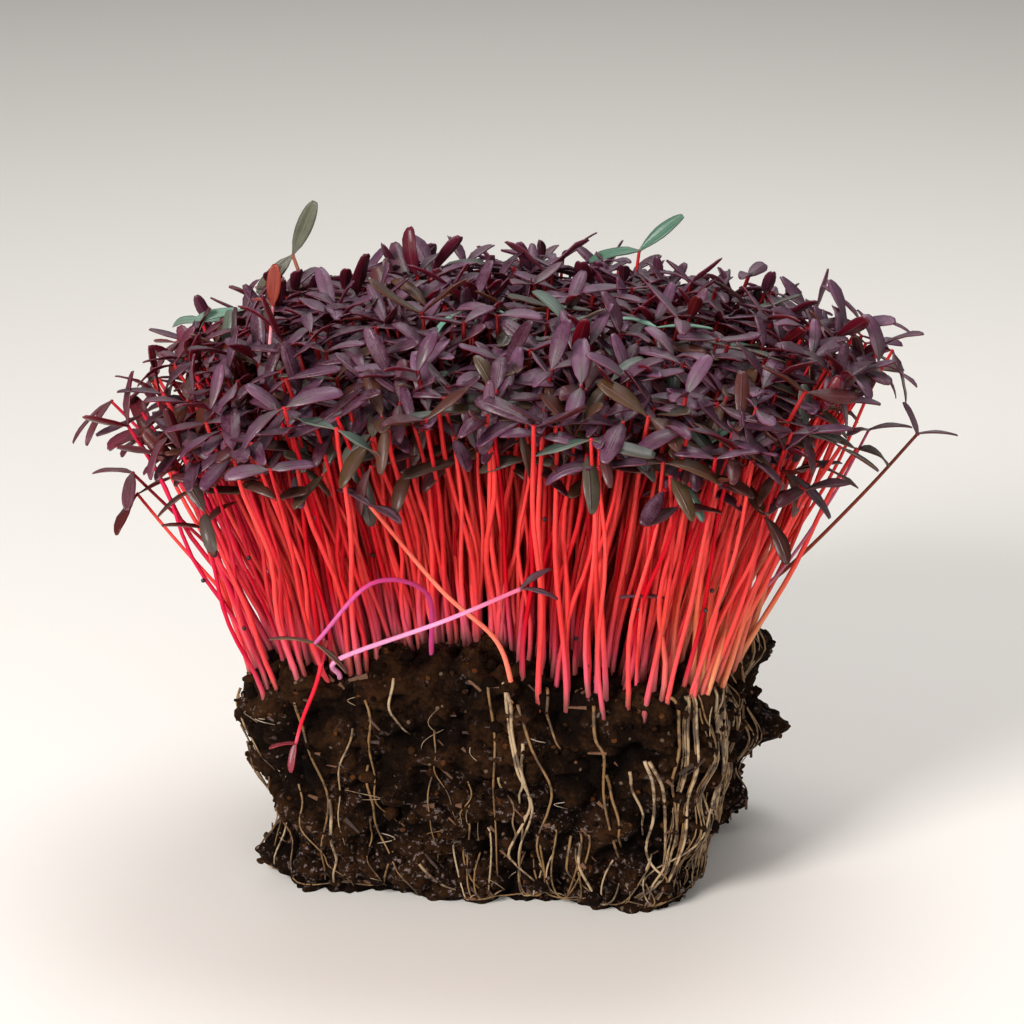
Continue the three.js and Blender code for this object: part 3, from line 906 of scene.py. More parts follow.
class Blade:
    """A flat two-faced blade, which is shaped to one seed leaf after another."""

    def __init__(self, columns: int, rows: int) -> None:
        """Make the flat blade from a grid, with its own UV map.

        Args:
            columns: The cells across.
            rows: The cells along.
        """
        bm = bmesh.new()
        bmesh.ops.create_grid(bm, x_segments=columns, y_segments=rows, size=1.0, calc_uvs=True)
        bmesh.ops.solidify(bm, geom=bm.faces[:], thickness=1.0)
        bmesh.ops.recalc_face_normals(bm, faces=bm.faces[:])
        uv = bm.loops.layers.uv.active or bm.loops.layers.uv.new("UVMap")
        for face in bm.faces:
            for loop in face.loops:
                loop[uv].uv = ((loop.vert.co.x + 1.0) / 2.0, (loop.vert.co.y + 1.0) / 2.0)
        self.mesh = bpy.data.meshes.new("blade")
        bm.to_mesh(self.mesh)
        bm.free()
        self.mesh.attributes.new(TINT, "FLOAT_COLOR", "POINT")
        flat = np.empty(len(self.mesh.vertices) * 3)
        self.mesh.vertices.foreach_get("co", flat)
        shape = flat.reshape(-1, 3)
        self.across = shape[:, 0]
        even = (shape[:, 1] + 1.0) / 2.0
        self.along = 0.3 * even + 0.35 * (1.0 - np.cos(np.pi * even))
        middle = (shape[:, 2].max() + shape[:, 2].min()) / 2.0
        self.upper = shape[:, 2] > middle

    def lay(self, bm: bmesh.types.BMesh, leaf: "SeedLeaf") -> None:
        """Add a copy of the blade, shaped to a seed leaf.

        Args:
            bm: The mesh that it is added to.
            leaf: The leaf's place, size, bend and colour.
        """
        s = self.along
        body = np.clip((s - leaf.stalk) / (1.0 - leaf.stalk), 0.0, 1.0)
        swell = np.clip(1.54 * body ** leaf.taper * (1.0 - body) ** 0.42, 0.0, 1.0)
        half = leaf.width / 2.0 * swell + 0.3 * MM * (1.0 - s) ** 2
        half[s > 0.999] = 0.13 * leaf.width
        x = self.across * half
        angle = leaf.bend * s
        spine_y = leaf.length * np.where(leaf.bend == 0, s, np.sin(angle) / (leaf.bend or 1.0))
        spine_z = -leaf.length * (1.0 - np.cos(angle)) / (leaf.bend or 1.0)
        wave = leaf.wave * np.sin(9.0 * s + leaf.phase) * self.across * half
        z = spine_z + leaf.fold * np.abs(self.across) * half + wave
        thick = leaf.thickness * np.where(self.upper, 0.5, -0.5)
        twist = leaf.twist * s
        turned_x = x * np.cos(twist) - (z - spine_z) * np.sin(twist)
        turned_z = x * np.sin(twist) + (z - spine_z) * np.cos(twist) + spine_z + thick
        along = np.array(leaf.direction)
        face = np.array(leaf.face)
        side = np.cross(along, face)
        placed = np.array(leaf.base) + np.outer(turned_x, side) + np.outer(spine_y, along)
        placed += np.outer(turned_z, face)
        self.mesh.vertices.foreach_set("co", placed.ravel())
        tint = np.ones((len(placed), 4))
        tint[:, 0] = np.where(self.upper, 0.0, 1.0)
        tint[:, 1] = leaf.kind
        tint[:, 2] = leaf.shade
        self.mesh.attributes[TINT].data.foreach_set("color", tint.ravel())
        bm.from_mesh(self.mesh)


@dataclass
class SeedLeaf:
    """One seed leaf: where it starts, which way it points and how it is bent."""

    base: Vector
    direction: Vector
    face: Vector
    length: float = 10 * MM
    width: float = 3.3 * MM
    thickness: float = 0.3 * MM
    stalk: float = 0.1
    taper: float = 0.62
    bend: float = 0.3
    fold: float = 0.35
    wave: float = 0.1
    twist: float = 0.0
    phase: float = 0.0
    kind: float = 0.3
    shade: float = 0.0


def leaf_at(base: Vector, axis: Vector, turn: float, lift: float, **shape: float) -> SeedLeaf:
    """Place a seed leaf on the end of a stem.

    Args:
        base: The end of the stem.
        axis: The stem's direction there.
        turn: The leaf's turn about the stem.
        lift: How far the leaf is raised from square to the stem, in radians.
        shape: Other fields of the leaf.

    Returns:
        The seed leaf, its upper face towards the stem's direction.
    """
    out = axis.orthogonal().normalized()
    other = axis.cross(out)
    radial = out * math.cos(turn) + other * math.sin(turn)
    direction = (radial * math.cos(lift) + axis * math.sin(lift)).normalized()
    face = (axis * math.cos(lift) - radial * math.sin(lift)).normalized()
    return SeedLeaf(base, direction, face, **shape)


def bezier(points: list[Vector], count: int) -> np.ndarray:
    """Return count points along a cubic Bezier curve."""
    t = np.linspace(0.0, 1.0, count)[:, None]
    p = [np.array(point) for point in points]
    return ((1 - t) ** 3 * p[0] + 3 * (1 - t) ** 2 * t * p[1] + 3 * (1 - t) * t ** 2 * p[2]
            + t ** 3 * p[3])


def through(points: list[tuple[float, float, float]], count: int) -> np.ndarray:
    """Return count points along a smooth curve through the given points.

    Args:
        points: The points, in metres.
        count: The number of points that are returned.

    Returns:
        An array with one row for each point.
    """
    p = np.array(points)
    p = np.vstack([2 * p[0] - p[1], p, 2 * p[-1] - p[-2]])
    spans = len(points) - 1
    made = []
    for t in np.linspace(0.0, spans - 1e-6, count):
        i = int(t)
        f = t - i
        a, b, c, d = p[i], p[i + 1], p[i + 2], p[i + 3]
        made.append(0.5 * (2 * b + (c - a) * f + (2 * a - 5 * b + 4 * c - d) * f ** 2
                           + (3 * b - a - 3 * c + d) * f ** 3))
    return np.array(made)


@dataclass
class SeedlingStand:
    """The stand of red seedlings: 25 bunches, each with its stems and its seed leaves.

    Sways, scatters and leaf lengths are in millimetres, leaf widths are shares of the length, and
    kinds are places on the leaves' colour ramps.
    """

    soil: SoilForm
    rows: int = 5
    columns: int = 5
    seedlings: int = 54
    foot_reach: float = 0.95
    right_reach: float = 79 * MM
    left_reach: float = 77 * MM
    half_depth: float = 66 * MM
    corner_pull: float = 0.42
    top: float = 122.5 * MM
    side_drop: float = 10 * MM
    left_drop: float = 9 * MM
    depth_drop: float = 9 * MM
    front_drop: float = 2 * MM
    rim_from: float = 0.93
    rim_sink: float = 0.38
    bare_edge: float = -0.74
    bare_middle: float = -0.12
    bare_half: float = 0.3
    even_steps: Band = (0.7548776662, 0.5698402909)
    bunch_steps: Band = (0.37, 0.61)
    place_scatter: float = 0.012
    shortest: Band = (0.15, 0.24)
    short_curve: float = 2.1
    head_scatter: Band = (3.2, 2.0)
    foot_scatter: float = 0.5
    foot_handle: float = 0.36
    foot_upright: float = 0.3
    head_handle: float = 0.3
    head_lean: float = 3.0
    stem_radius: float = 0.57 * MM
    stem_sway: Band = (0.4, 1.7)
    buried: float = 2.2 * MM
    hull_share: float = 0.07
    hull_radius: float = 0.48 * MM
    leaf_length: Band = (8.4, 12.6)
    leaf_width: Band = (0.31, 0.41)
    plum_kinds: Band = (0.0, 0.66)
    olive_kinds: Band = (0.68, 0.89)
    teal_kinds: Band = (0.88, 1.0)
    teal_share: float = 0.045
    olive_share: float = 0.08
    seed: int = 5
    hulls: list[Vector] = field(default_factory=list)

    def foot(self, u: float, v: float, sink: float) -> tuple[Vector, Vector]:
        """Find where a seedling leaves the soil, and the direction into the soil there.

        Args:
            u: Its place from left to right.
            v: Its place from front to back.
            sink: How far down the side a seedling of the rim stands, on the box.

        Returns:
            The point and the direction.
        """
        rim = max(abs(u), abs(v))
        if rim > self.rim_from:
            place, out = self.soil.coarse(u / rim, v / rim, 1.0 - sink)
            return place + out * self.soil.clods(place), -out
        x, y = self.soil.plan(u, v)
        place, _ = self.soil.coarse(u * self.foot_reach, v * self.foot_reach, 1.0)
        return Vector((x * self.foot_reach, y * self.foot_reach, place.z)), -UP

    def head(self, u: float, v: float) -> Vector:
        """Return where a seedling's leaves are."""
        reach = self.right_reach if u > 0 else self.left_reach
        x = reach * u * math.sqrt(1 - self.corner_pull * v * v)
        y = self.half_depth * v * math.sqrt(1 - self.corner_pull * u * u)
        across = self.side_drop * u * u + self.left_drop * max(0.0, -u) ** 5
        drop = across + self.depth_drop * v * v - self.front_drop * v
        return Vector((x, y, self.top - drop))

    def build(self) -> None:
        """Make every bunch, and the seed hulls caught among them."""
        stem_finish = StemFinish("red_stems").material()
        leaf_finish = LeafFinish("seed_leaves", PLUM_UPPER, PLUM_UNDER).material()
        tube = Tube(sides=5, rings=12)
        blade = Blade(2, 7)
        for bunch in range(self.rows * self.columns):
            self._bunch(bunch, tube, blade, stem_finish, leaf_finish)
        self._hulls()

    def _places(self, bunch: int, rng: random.Random) -> list[tuple[float, float]]:
        """Return the places of a bunch's seedlings, spread evenly with a little scatter."""
        row, column = divmod(bunch, self.columns)
        places = []
        for j in range(self.seedlings):
            in_x, in_y = ((0.5 + (j + 1) * step + bunch * shift) % 1.0 - 0.5
                          for step, shift in zip(self.even_steps, self.bunch_steps))
            u = (2 * column + 1 + 2 * in_x) / self.columns - 1 + rng.gauss(0, self.place_scatter)
            v = (2 * row + 1 + 2 * in_y) / self.rows - 1 + rng.gauss(0, self.place_scatter)
            places.append((min(1, max(-1, u)), min(1, max(-1, v))))
        return places

    def _bunch(self, bunch: int, tube: Tube, blade: Blade, stem_finish: bpy.types.Material,
               leaf_finish: bpy.types.Material) -> None:
        """Make one bunch's stems and leaves.

        Args:
            bunch: The bunch's number, from 0.
            tube: The tube that its stems are made from.
            blade: The blade that its leaves are made from.
            stem_finish: The stems' material.
            leaf_finish: The leaves' material.
        """
        rng = random.Random(self.seed * 1000 + bunch)
        stems = bmesh.new()
        leaves = bmesh.new()
        for u, v in self._places(bunch, rng):
            self._seedling(u, v, rng, tube, blade, stems, leaves)
        label = "%02d" % (bunch + 1)
        new_piece("red_stems_" + label, stems, stem_finish, ("stems_" + label,))
        new_piece("seed_leaves_" + label, leaves, leaf_finish, ("leaves_" + label,))

    def _seedling(self, u: float, v: float, rng: random.Random, tube: Tube, blade: Blade,
                  stems: bmesh.types.BMesh, leaves: bmesh.types.BMesh) -> None:
        """Grow one seedling.

        Args:
            u: Its place from left to right.
            v: Its place from front to back.
            rng: The seeded draw.
            tube: The tube that its stem is made from.
            blade: The blade that its leaves are made from.
            stems: The mesh that the stem is added to.
            leaves: The mesh that the leaves are added to.
        """
        bare = v < self.bare_edge and abs(u - self.bare_middle) < self.bare_half
        low, inward = self.foot(u, self.bare_edge if bare else v, self.rim_sink * rng.random())
        high = self.head(u, v)
        rim = min(1.0, max(abs(u), abs(v)))
        short = rng.random() ** self.short_curve * mixed(*self.shortest, rim)
        high = low.lerp(high, 1.0 - short)
        aside, upwards = self.head_scatter
        high += Vector((rng.gauss(0, aside), rng.gauss(0, aside), rng.gauss(0, upwards))) * MM
        low += Vector((rng.gauss(0, self.foot_scatter), rng.gauss(0, self.foot_scatter), 0)) * MM
        rise = high - low
        lean = Vector((rise.x, rise.y, 0.0))
        ahead = (rise.normalized() + lean * self.head_lean).normalized()
        upright = (rise.normalized() + UP * self.foot_upright).normalized()
        first = low + upright * rise.length * self.foot_handle
        last = high - ahead * rise.length * self.head_handle
        path = bezier([low + inward * self.buried, first, last, high], tube.rings)
        t = np.linspace(0.0, 1.0, tube.rings)
        for axis in (0, 1):
            size = rng.uniform(*self.stem_sway) * MM
            sway = np.sin(t * rng.uniform(4.0, 9.0) + rng.uniform(0, 6.3))
            path[:, axis] += size * sway * np.sin(np.pi * t ** 0.8)
        thick = self.stem_radius * rng.uniform(0.82, 1.16)
        radii = thick * (1.0 - 0.28 * t) + 0.12 * MM * np.exp(-((t - 0.05) / 0.05) ** 2)
        kind = min(1.0, max(0.0, rng.gauss(0.47, 0.27)))
        tube.lay(stems, path, radii, kind, rng.uniform(0.15, 0.9), smooth_step(0.97, 0.7, rim))
        if rng.random() < self.hull_share:
            at = path[rng.randrange(2, 7)]
            self.hulls.append(Vector(at) + Vector((rng.gauss(0, 0.2), -0.7, 0)) * MM)
        ahead = Vector(path[-1] - path[-2]).normalized()
        self._pair(Vector(path[-1]), ahead, rim, v, short, rng, blade, leaves)

    def _pair(self, end: Vector, ahead: Vector, rim: float, v: float, short: float,
              rng: random.Random, blade: Blade, leaves: bmesh.types.BMesh) -> None:
        """Add the two seed leaves at the end of a stem.

        Args:
            end: The end of the stem.
            ahead: The stem's direction there.
            rim: How near the rim of the stand it is, from 0 to 1.
            v: Its place from front to back.
            short: How far the seedling falls short of its neighbours.
            rng: The seeded draw.
            blade: The blade that the leaves are made from.
            leaves: The mesh that they are added to.
        """
        ahead = ahead.lerp(UP, 0.6 * max(0.0, v)).normalized()
        turn = rng.uniform(0.0, 2.0 * math.pi)
        open_ = rng.gauss(0.3 - 0.2 * max(0.0, v), 0.34)
        draw = rng.random()
        fringe = 4.0 * short * rim + 0.12 * max(0.0, -v) ** 3
        kind = rng.uniform(*self.plum_kinds)
        if draw > 1.0 - self.teal_share:
            kind = rng.uniform(*self.teal_kinds)
        elif draw > 1.0 - self.olive_share - fringe:
            kind = rng.uniform(*self.olive_kinds)
        length = rng.uniform(*self.leaf_length) * MM
        for half in (0, 1):
            shape = {
                "length": length * rng.uniform(0.93, 1.06),
                "width": length * rng.uniform(*self.leaf_width),
                "taper": rng.uniform(0.5, 0.75),
                "bend": rng.gauss(0.4, 0.4),
                "fold": rng.uniform(0.05, 0.5),
                "wave": rng.uniform(0.0, 0.18),
                "twist": rng.gauss(0.0, 0.35),
                "phase": rng.uniform(0.0, 6.3),
                "kind": min(1.0, max(0.0, kind + rng.gauss(0, 0.03))),
                "shade": max(0.0, rng.gauss(0.0, 0.25)) + 1.6 * short,
            }
            lift = open_ + rng.gauss(0.0, 0.2)
            spread = turn + half * math.pi + rng.gauss(0.0, 0.2)
            blade.lay(leaves, leaf_at(end - ahead * 0.3 * MM, ahead, spread, lift, **shape))

    def _hulls(self) -> None:
        """Make the seed hulls that were carried up by the stems."""
        rng = random.Random(self.seed)
        bm = bmesh.new()
        for place in self.hulls:
            made = bmesh.ops.create_uvsphere(bm, u_segments=10, v_segments=7, radius=self.hull_radius)
            flat = rng.uniform(0.55, 0.8)
            turn = rng.uniform(0, math.pi)
            for vert in made["verts"]:
                x, y, z = vert.co
                body = Vector((x * math.cos(turn) - z * math.sin(turn), y * flat,
                               x * math.sin(turn) + z * math.cos(turn)))
                vert.co = place + body
        new_piece("seed_hulls", bm, HullFinish().material())


@dataclass(frozen=True)
class Spray:
    """A spray of thick roots: the CAD node that it stands in for, and where on the block it hangs.

    Some of its roots follow courses of their own, given in millimetres across and up the front.
    """

    node: str
    turn: float
    spread: float
    count: int
    courses: tuple[tuple[tuple[float, float], ...], ...] = ()
    partners: int = 0
    top: float = 0.95


@dataclass
class RootMat:
    """The roots on the outside of the block: thick sprays, finer roots, hooks at the foot and hairs.

    Turns are in radians about the block's middle, 0 being +X and the front -1.57. The finer roots of
    the right side and the hooks at the front have a middle turn and a spread.
    """

    soil: SoilForm
    sprays: tuple[Spray, ...] = (
        Spray("roots_corner", -0.62, 0.1, 22, (
            ((48, 50), (49, 44), (48, 34), (47, 25), (45, 17), (44, 9), (38, 3)),
            ((46, 50), (46, 42), (45, 33), (44, 24), (42, 15), (41, 8), (34, 3)),
        ), 3),
        Spray("roots_front_right", -1.1, 0.1, 0, (
            ((25, 47), (25, 40), (27, 36), (27, 26), (29, 15), (30, 12)),
            ((27, 31), (29, 25), (30, 20), (30, 15)),
            ((32, 33), (33, 28), (35, 22), (35, 17)),
            ((35, 36), (37, 31), (37, 24), (36, 16), (37, 11), (40, 8), (43, 9)),
            ((36, 36), (39, 30), (40, 21), (41, 15), (41, 10), (37, 6), (36, 3)),
            ((41, 50), (43, 46), (43, 39), (41, 31), (43, 24), (43, 17), (41, 10)),
            ((20, 17), (19, 12), (20, 8), (24, 4), (27, 2)),
            ((22, 16), (22, 10), (25, 3), (28, 2), (30, 6)),
        )),
        Spray("roots_front_middle", -1.47, 0.06, 1, (
            ((6, 51), (8, 45), (8, 39), (11, 27), (11, 22), (7, 13), (8, 9), (12, 5)),
            ((15, 51), (15, 45), (16, 40), (18, 37)),
            ((9, 46), (12, 37), (16, 29), (15, 23), (13, 16), (14, 9), (15, 2)),
            ((10, 38), (10, 30), (9, 24)),
            ((7, 48), (7, 40), (9, 33), (12, 24), (9, 14), (9, 6)),
        )),
        Spray("roots_front_left", -2.23, 0.05, 1, (
            ((-37, 45), (-36, 36), (-31, 24), (-33, 11), (-33, 3)),
            ((-31, 23), (-30, 11), (-31, 3)),
            ((-12, 9), (-10, 6), (-7, 4), (-3, 3)),
            ((-17, 49), (-17, 43), (-14, 37)),
        )),
    )
    thick: float = 0.4 * MM
    partner_share: float = 0.62
    fine: int = 130
    fine_radius: float = 0.24 * MM
    fine_front_share: float = 0.05
    fine_right_share: float = 0.5
    fine_front: Band = (-2.2, -0.9)
    fine_right: Band = (-0.42, 0.16)
    fine_elsewhere: Band = (0.3, 3.8)
    hooks: int = 36
    hook_front_share: float = 0.4
    hook_front: Band = (-1.22, 0.2)
    hook_radii: Band = (0.24 * MM, 0.14 * MM)
    hairs: int = 90
    hair_radius: float = 0.11 * MM
    seed: int = 23

    def build(self) -> None:
        """Make the sprays, the fine roots, the hooks at the foot and the hairs."""
        finish = RootFinish("tan_roots").material()
        pale = RootFinish("root_hairs", (0.07, 0.04, 0.02), (0.2, 0.13, 0.07), (0.42, 0.34, 0.27))
        hair = pale.material()
        tube = Tube(sides=6, rings=24)
        for i, spray in enumerate(self.sprays):
            rng = random.Random(self.seed + i)
            bm = bmesh.new()
            for course in spray.courses:
                self._course(bm, tube, course, 0.0, rng)
                for _ in range(spray.partners):
                    self._course(bm, tube, course, rng.gauss(0, 1.0), rng)
            for _ in range(spray.count):
                start = rng.gauss(spray.turn, spray.spread)
                top = spray.top - rng.random() ** 2 * 1.1
                low = rng.uniform(-0.95, -0.75)
                self._root(bm, tube, rng, start, top, low, self.thick * rng.uniform(0.5, 0.95))
            new_piece(spray.node.replace("roots", "root_spray"), bm, finish, (spray.node,))
        self._fine(finish, random.Random(self.seed + 10))
        self._hooks(finish, random.Random(self.seed + 11))
        self._hairs(hair, random.Random(self.seed + 12))

    def _fine(self, finish: bpy.types.Material, rng: random.Random) -> None:
        """Hang finer roots down the sides, most of them on the right."""
        tube = Tube(sides=5, rings=20)
        bm = bmesh.new()
        for _ in range(self.fine):
            draw = rng.random()
            turn = rng.uniform(*self.fine_elsewhere)
            if draw < self.fine_front_share:
                turn = rng.uniform(*self.fine_front)
            elif draw < self.fine_front_share + self.fine_right_share:
                turn = rng.gauss(*self.fine_right)
            top = rng.uniform(-0.3, 0.95)
            low = max(-0.95, top - rng.uniform(0.5, 1.7))
            self._root(bm, tube, rng, turn, top, low, self.fine_radius * rng.uniform(0.6, 1.4))
        new_piece("fine_roots", bm, finish)

    def _course(self, bm: bmesh.types.BMesh, tube: Tube, course: tuple[tuple[float, float], ...],
                aside: float, rng: random.Random) -> None:
        """Lay a root along a course on the front of the block.

        Args:
            bm: The mesh that it is added to.
            tube: The tube that it is made from.
            course: Its points in millimetres across and up the front.
            aside: How far it lies beside the course, in millimetres.
            rng: The seeded draw.
        """
        phase = rng.uniform(0, 6.3)
        line = through([(x + aside, 0.0, z) for x, z in course], tube.rings)
        places = []
        for step, (x, _, z) in enumerate(line):
            across = x + 0.22 * math.sin(0.55 * step + phase)
            rise = z * MM / self.soil.height
            places.append(self.soil.front(across * MM, min(0.97, rise)))
        slim = self.partner_share if aside else 1.0
        radius = self.thick * slim * rng.uniform(0.75, 1.05)
        path = self._against(places, radius, 0.2 * MM)
        t = np.linspace(0.0, 1.0, tube.rings)
        tube.lay(bm, path, radius * (1.0 - 0.45 * t), rng.uniform(0.2, 1.0), rng.random())

    def _hooks(self, finish: bpy.types.Material, rng: random.Random) -> None:
        """Hang fine roots by the foot of the block, where the tray's floor turned them aside."""
        tube = Tube(sides=5, rings=18)
        bm = bmesh.new()
        for _ in range(self.hooks):
            near = rng.random() < self.hook_front_share
            turn = rng.gauss(*self.hook_front) if near else rng.uniform(0, 2 * math.pi)
            reach = abs(rng.gauss(0.0, 0.14)) * rng.choice((-1, 1))
            height = rng.uniform(0.2, 0.75)
            lift = rng.uniform(0.0, 0.12)
            places = []
            for step in np.linspace(0.0, 1.0, tube.rings):
                down = 1.0 - smooth_step(0.0, 0.72, step) + lift * smooth_step(0.75, 1.0, step)
                sway = 0.015 * math.sin(7.0 * step + height * 20.0)
                places.append((turn + reach * step ** 3 + sway, -0.94 + height * down))
            path = self._against(places, 0.2 * MM, 0.1 * MM)
            radii = np.linspace(*self.hook_radii, tube.rings)
            tube.lay(bm, path, radii, rng.random(), rng.random())
        new_piece("root_hooks", bm, finish)

    def _hairs(self, finish: bpy.types.Material, rng: random.Random) -> None:
        """Scatter short whitish hair roots over the sides."""
        tube = Tube(sides=4, rings=7)
        bm = bmesh.new()
        for _ in range(self.hairs):
            turn, z = rng.uniform(0, 2 * math.pi), rng.uniform(-0.9, 0.85)
            across, down = rng.gauss(0, 0.04), rng.uniform(0.04, 0.2)
            curve = rng.gauss(0, 0.04)
            places = []
            for step in np.linspace(0.0, 1.0, tube.rings):
                sway = across * step + curve * math.sin(math.pi * step)
                places.append((turn + sway, z - down * step))
            path = self._against(places, self.hair_radius, 0.1 * MM)
            radii = np.full(tube.rings, self.hair_radius)
            tube.lay(bm, path, radii, rng.random(), rng.random())
        new_piece("root_hairs", bm, finish)

    def _against(self, places: list[tuple[float, float]], radius: float, sunk: float) -> np.ndarray:
        """Lay a root's middle line on the block's clods, stretched over the hollows between them.

        Args:
            places: Its course, each point a direction from the block's middle and a height on the box.
            radius: The root's radius.
            sunk: How far the root is pressed into the soil.

        Returns:
            An array with one point for each place.
        """
        points, outs, clods = [], [], []
        for turn, z in places:
            x, y = self.soil.ring(turn)
            place, direction = self.soil.coarse(x, y, min(0.995, max(-0.97, z)))
            points.append(place)
            outs.append(direction)
            clods.append(self.soil.clods(place))
        clods = np.array(clods)
        around = np.lib.stride_tricks.sliding_window_view(np.pad(clods, 2, mode="edge"), 5)
        high = 0.85 * around.max(axis=1) + 0.15 * around.mean(axis=1)
        eased = np.convolve(np.pad(high, 2, mode="edge"), (0.12, 0.22, 0.32, 0.22, 0.12), mode="valid")
        stand = eased + radius * 0.6 - sunk
        path = np.array(points) + np.array(outs) * stand[:, None]
        path[:, 2] = np.maximum(path[:, 2], radius * 1.2)
        return path

    def _root(self, bm: bmesh.types.BMesh, tube: Tube, rng: random.Random, turn: float, top: float,
              low: float, radius: float) -> None:
        """Let one root wander down the side of the block.

        Args:
            bm: The mesh that it is added to.
            tube: The tube that it is made from.
            rng: The seeded draw.
            turn: The direction from the block's middle where it starts.
            top: Its height on the box at the top end.
            low: Its height on the box at the lower end.
            radius: Its radius at the top end.
        """
        t = np.linspace(0.0, 1.0, tube.rings)
        drift = rng.gauss(0.0, 0.05)
        phases = [rng.uniform(0, 6.3) for _ in range(4)]
        swing = rng.uniform(0.008, 0.032)
        bend = rng.gauss(0, 0.12) if rng.random() < 0.35 else 0.0
        places = []
        for step in t:
            sway = swing * math.sin(5 * step + phases[0]) + 0.4 * swing * math.sin(13 * step + phases[1])
            around = turn + drift * step + sway + bend * smooth_step(0.75, 1.0, step)
            places.append((around, mixed(top, low, step)))
        path = self._against(places, radius, 0.35 * MM * abs(math.sin(phases[2])))
        radii = radius * (1.0 - 0.5 * t) * (1.0 + 0.12 * np.sin(t * 40 + phases[3]))
        tube.lay(bm, path, radii, rng.random(), rng.random())


@dataclass(frozen=True)
class Spread:
    """A seed leaf of a stray seedling: its heading, pitch, size and how far its face turns forwards."""

    turn: float
    pitch: float
    length: float = 11 * MM
    width: float = 3.4 * MM
    bend: float = 0.4
    kind: float = 0.3
    facing: float = 0.0


@dataclass(frozen=True)
class Stray:
    """A stray seedling: its stem's points in millimetres, its leaves and its finishes."""

    name: str
    points: tuple[tuple[float, float, float], ...]
    leaves: tuple[Spread, ...]
    stem: StemFinish
    leaf: LeafFinish
    radius: float = 0.6 * MM
    node: str | None = None

    def build(self) -> None:
        """Make the seedling's one piece, with two materials."""
        tube = Tube(sides=8, rings=34)
        blade = Blade(4, 10)
        path = through([tuple(c * MM for c in point) for point in self.points], tube.rings)
        t = np.linspace(0.0, 1.0, tube.rings)
        bm = bmesh.new()
        tube.lay(bm, path, self.radius * (1.0 - 0.3 * t), 0.3, 0.8)
        stem_faces = len(bm.faces)
        bm.loops.layers.uv.new("UVMap")
        for leaf in self.leaves:
            level = math.cos(leaf.pitch)
            direction = Vector((level * math.cos(leaf.turn), level * math.sin(leaf.turn),
                                math.sin(leaf.pitch)))
            side = direction.cross(UP).normalized()
            face = side.cross(direction).normalized().lerp(FRONT, leaf.facing)
            face = (face - direction * face.dot(direction)).normalized()
            base = Vector(path[-1]) - direction * 0.4 * MM
            blade.lay(bm, SeedLeaf(base, direction, face, leaf.length, leaf.width, bend=leaf.bend,
                                   kind=leaf.kind))
        bm.faces.ensure_lookup_table()
        for face in bm.faces[stem_faces:]:
            face.material_index = 1
        nodes = (self.node,) if self.node else ()
        piece = new_piece(self.name, bm, self.stem.material(), nodes)
        piece.data.materials.append(self.leaf.material())


def plain_ramp(colour: Colour) -> tuple[tuple[float, Colour], ...]:
    """Return a ramp that varies a little about one colour."""
    dark = tuple(0.7 * c for c in colour)
    light = tuple(min(1.0, 1.25 * c) for c in colour)
    return ((0.0, dark), (0.5, colour), (1.0, light))


SAGE = plain_ramp((0.085, 0.09, 0.06))
TEAL = plain_ramp((0.12, 0.27, 0.2))
OLIVE = plain_ramp((0.1, 0.055, 0.018))
WINE = plain_ramp((0.06, 0.006, 0.008))
PLUM = plain_ramp((0.075, 0.03, 0.04))
BRICK = plain_ramp((0.2, 0.018, 0.007))

PALE_STEM = StemFinish("pale_stem", (0.72, 0.36, 0.4), (0.6, 0.2, 0.26), (0.75, 0.45, 0.45),
                       (0.4, 0.06, 0.08))
TEAL_LEAVES = LeafFinish("teal_leaves", TEAL, plain_ramp((0.09, 0.12, 0.09)), (0.25, 0.32, 0.24),
                         (0.2, 0.32, 0.26), (0.16, 0.32, 0.24))
GREEN_LEAVES = LeafFinish("green_leaves", plain_ramp((0.06, 0.14, 0.09)), plain_ramp((0.06, 0.09, 0.06)),
                          (0.12, 0.2, 0.14), (0.1, 0.18, 0.13), (0.08, 0.17, 0.11))
WINE_LEAVES = LeafFinish("wine_leaves", PLUM, WINE)

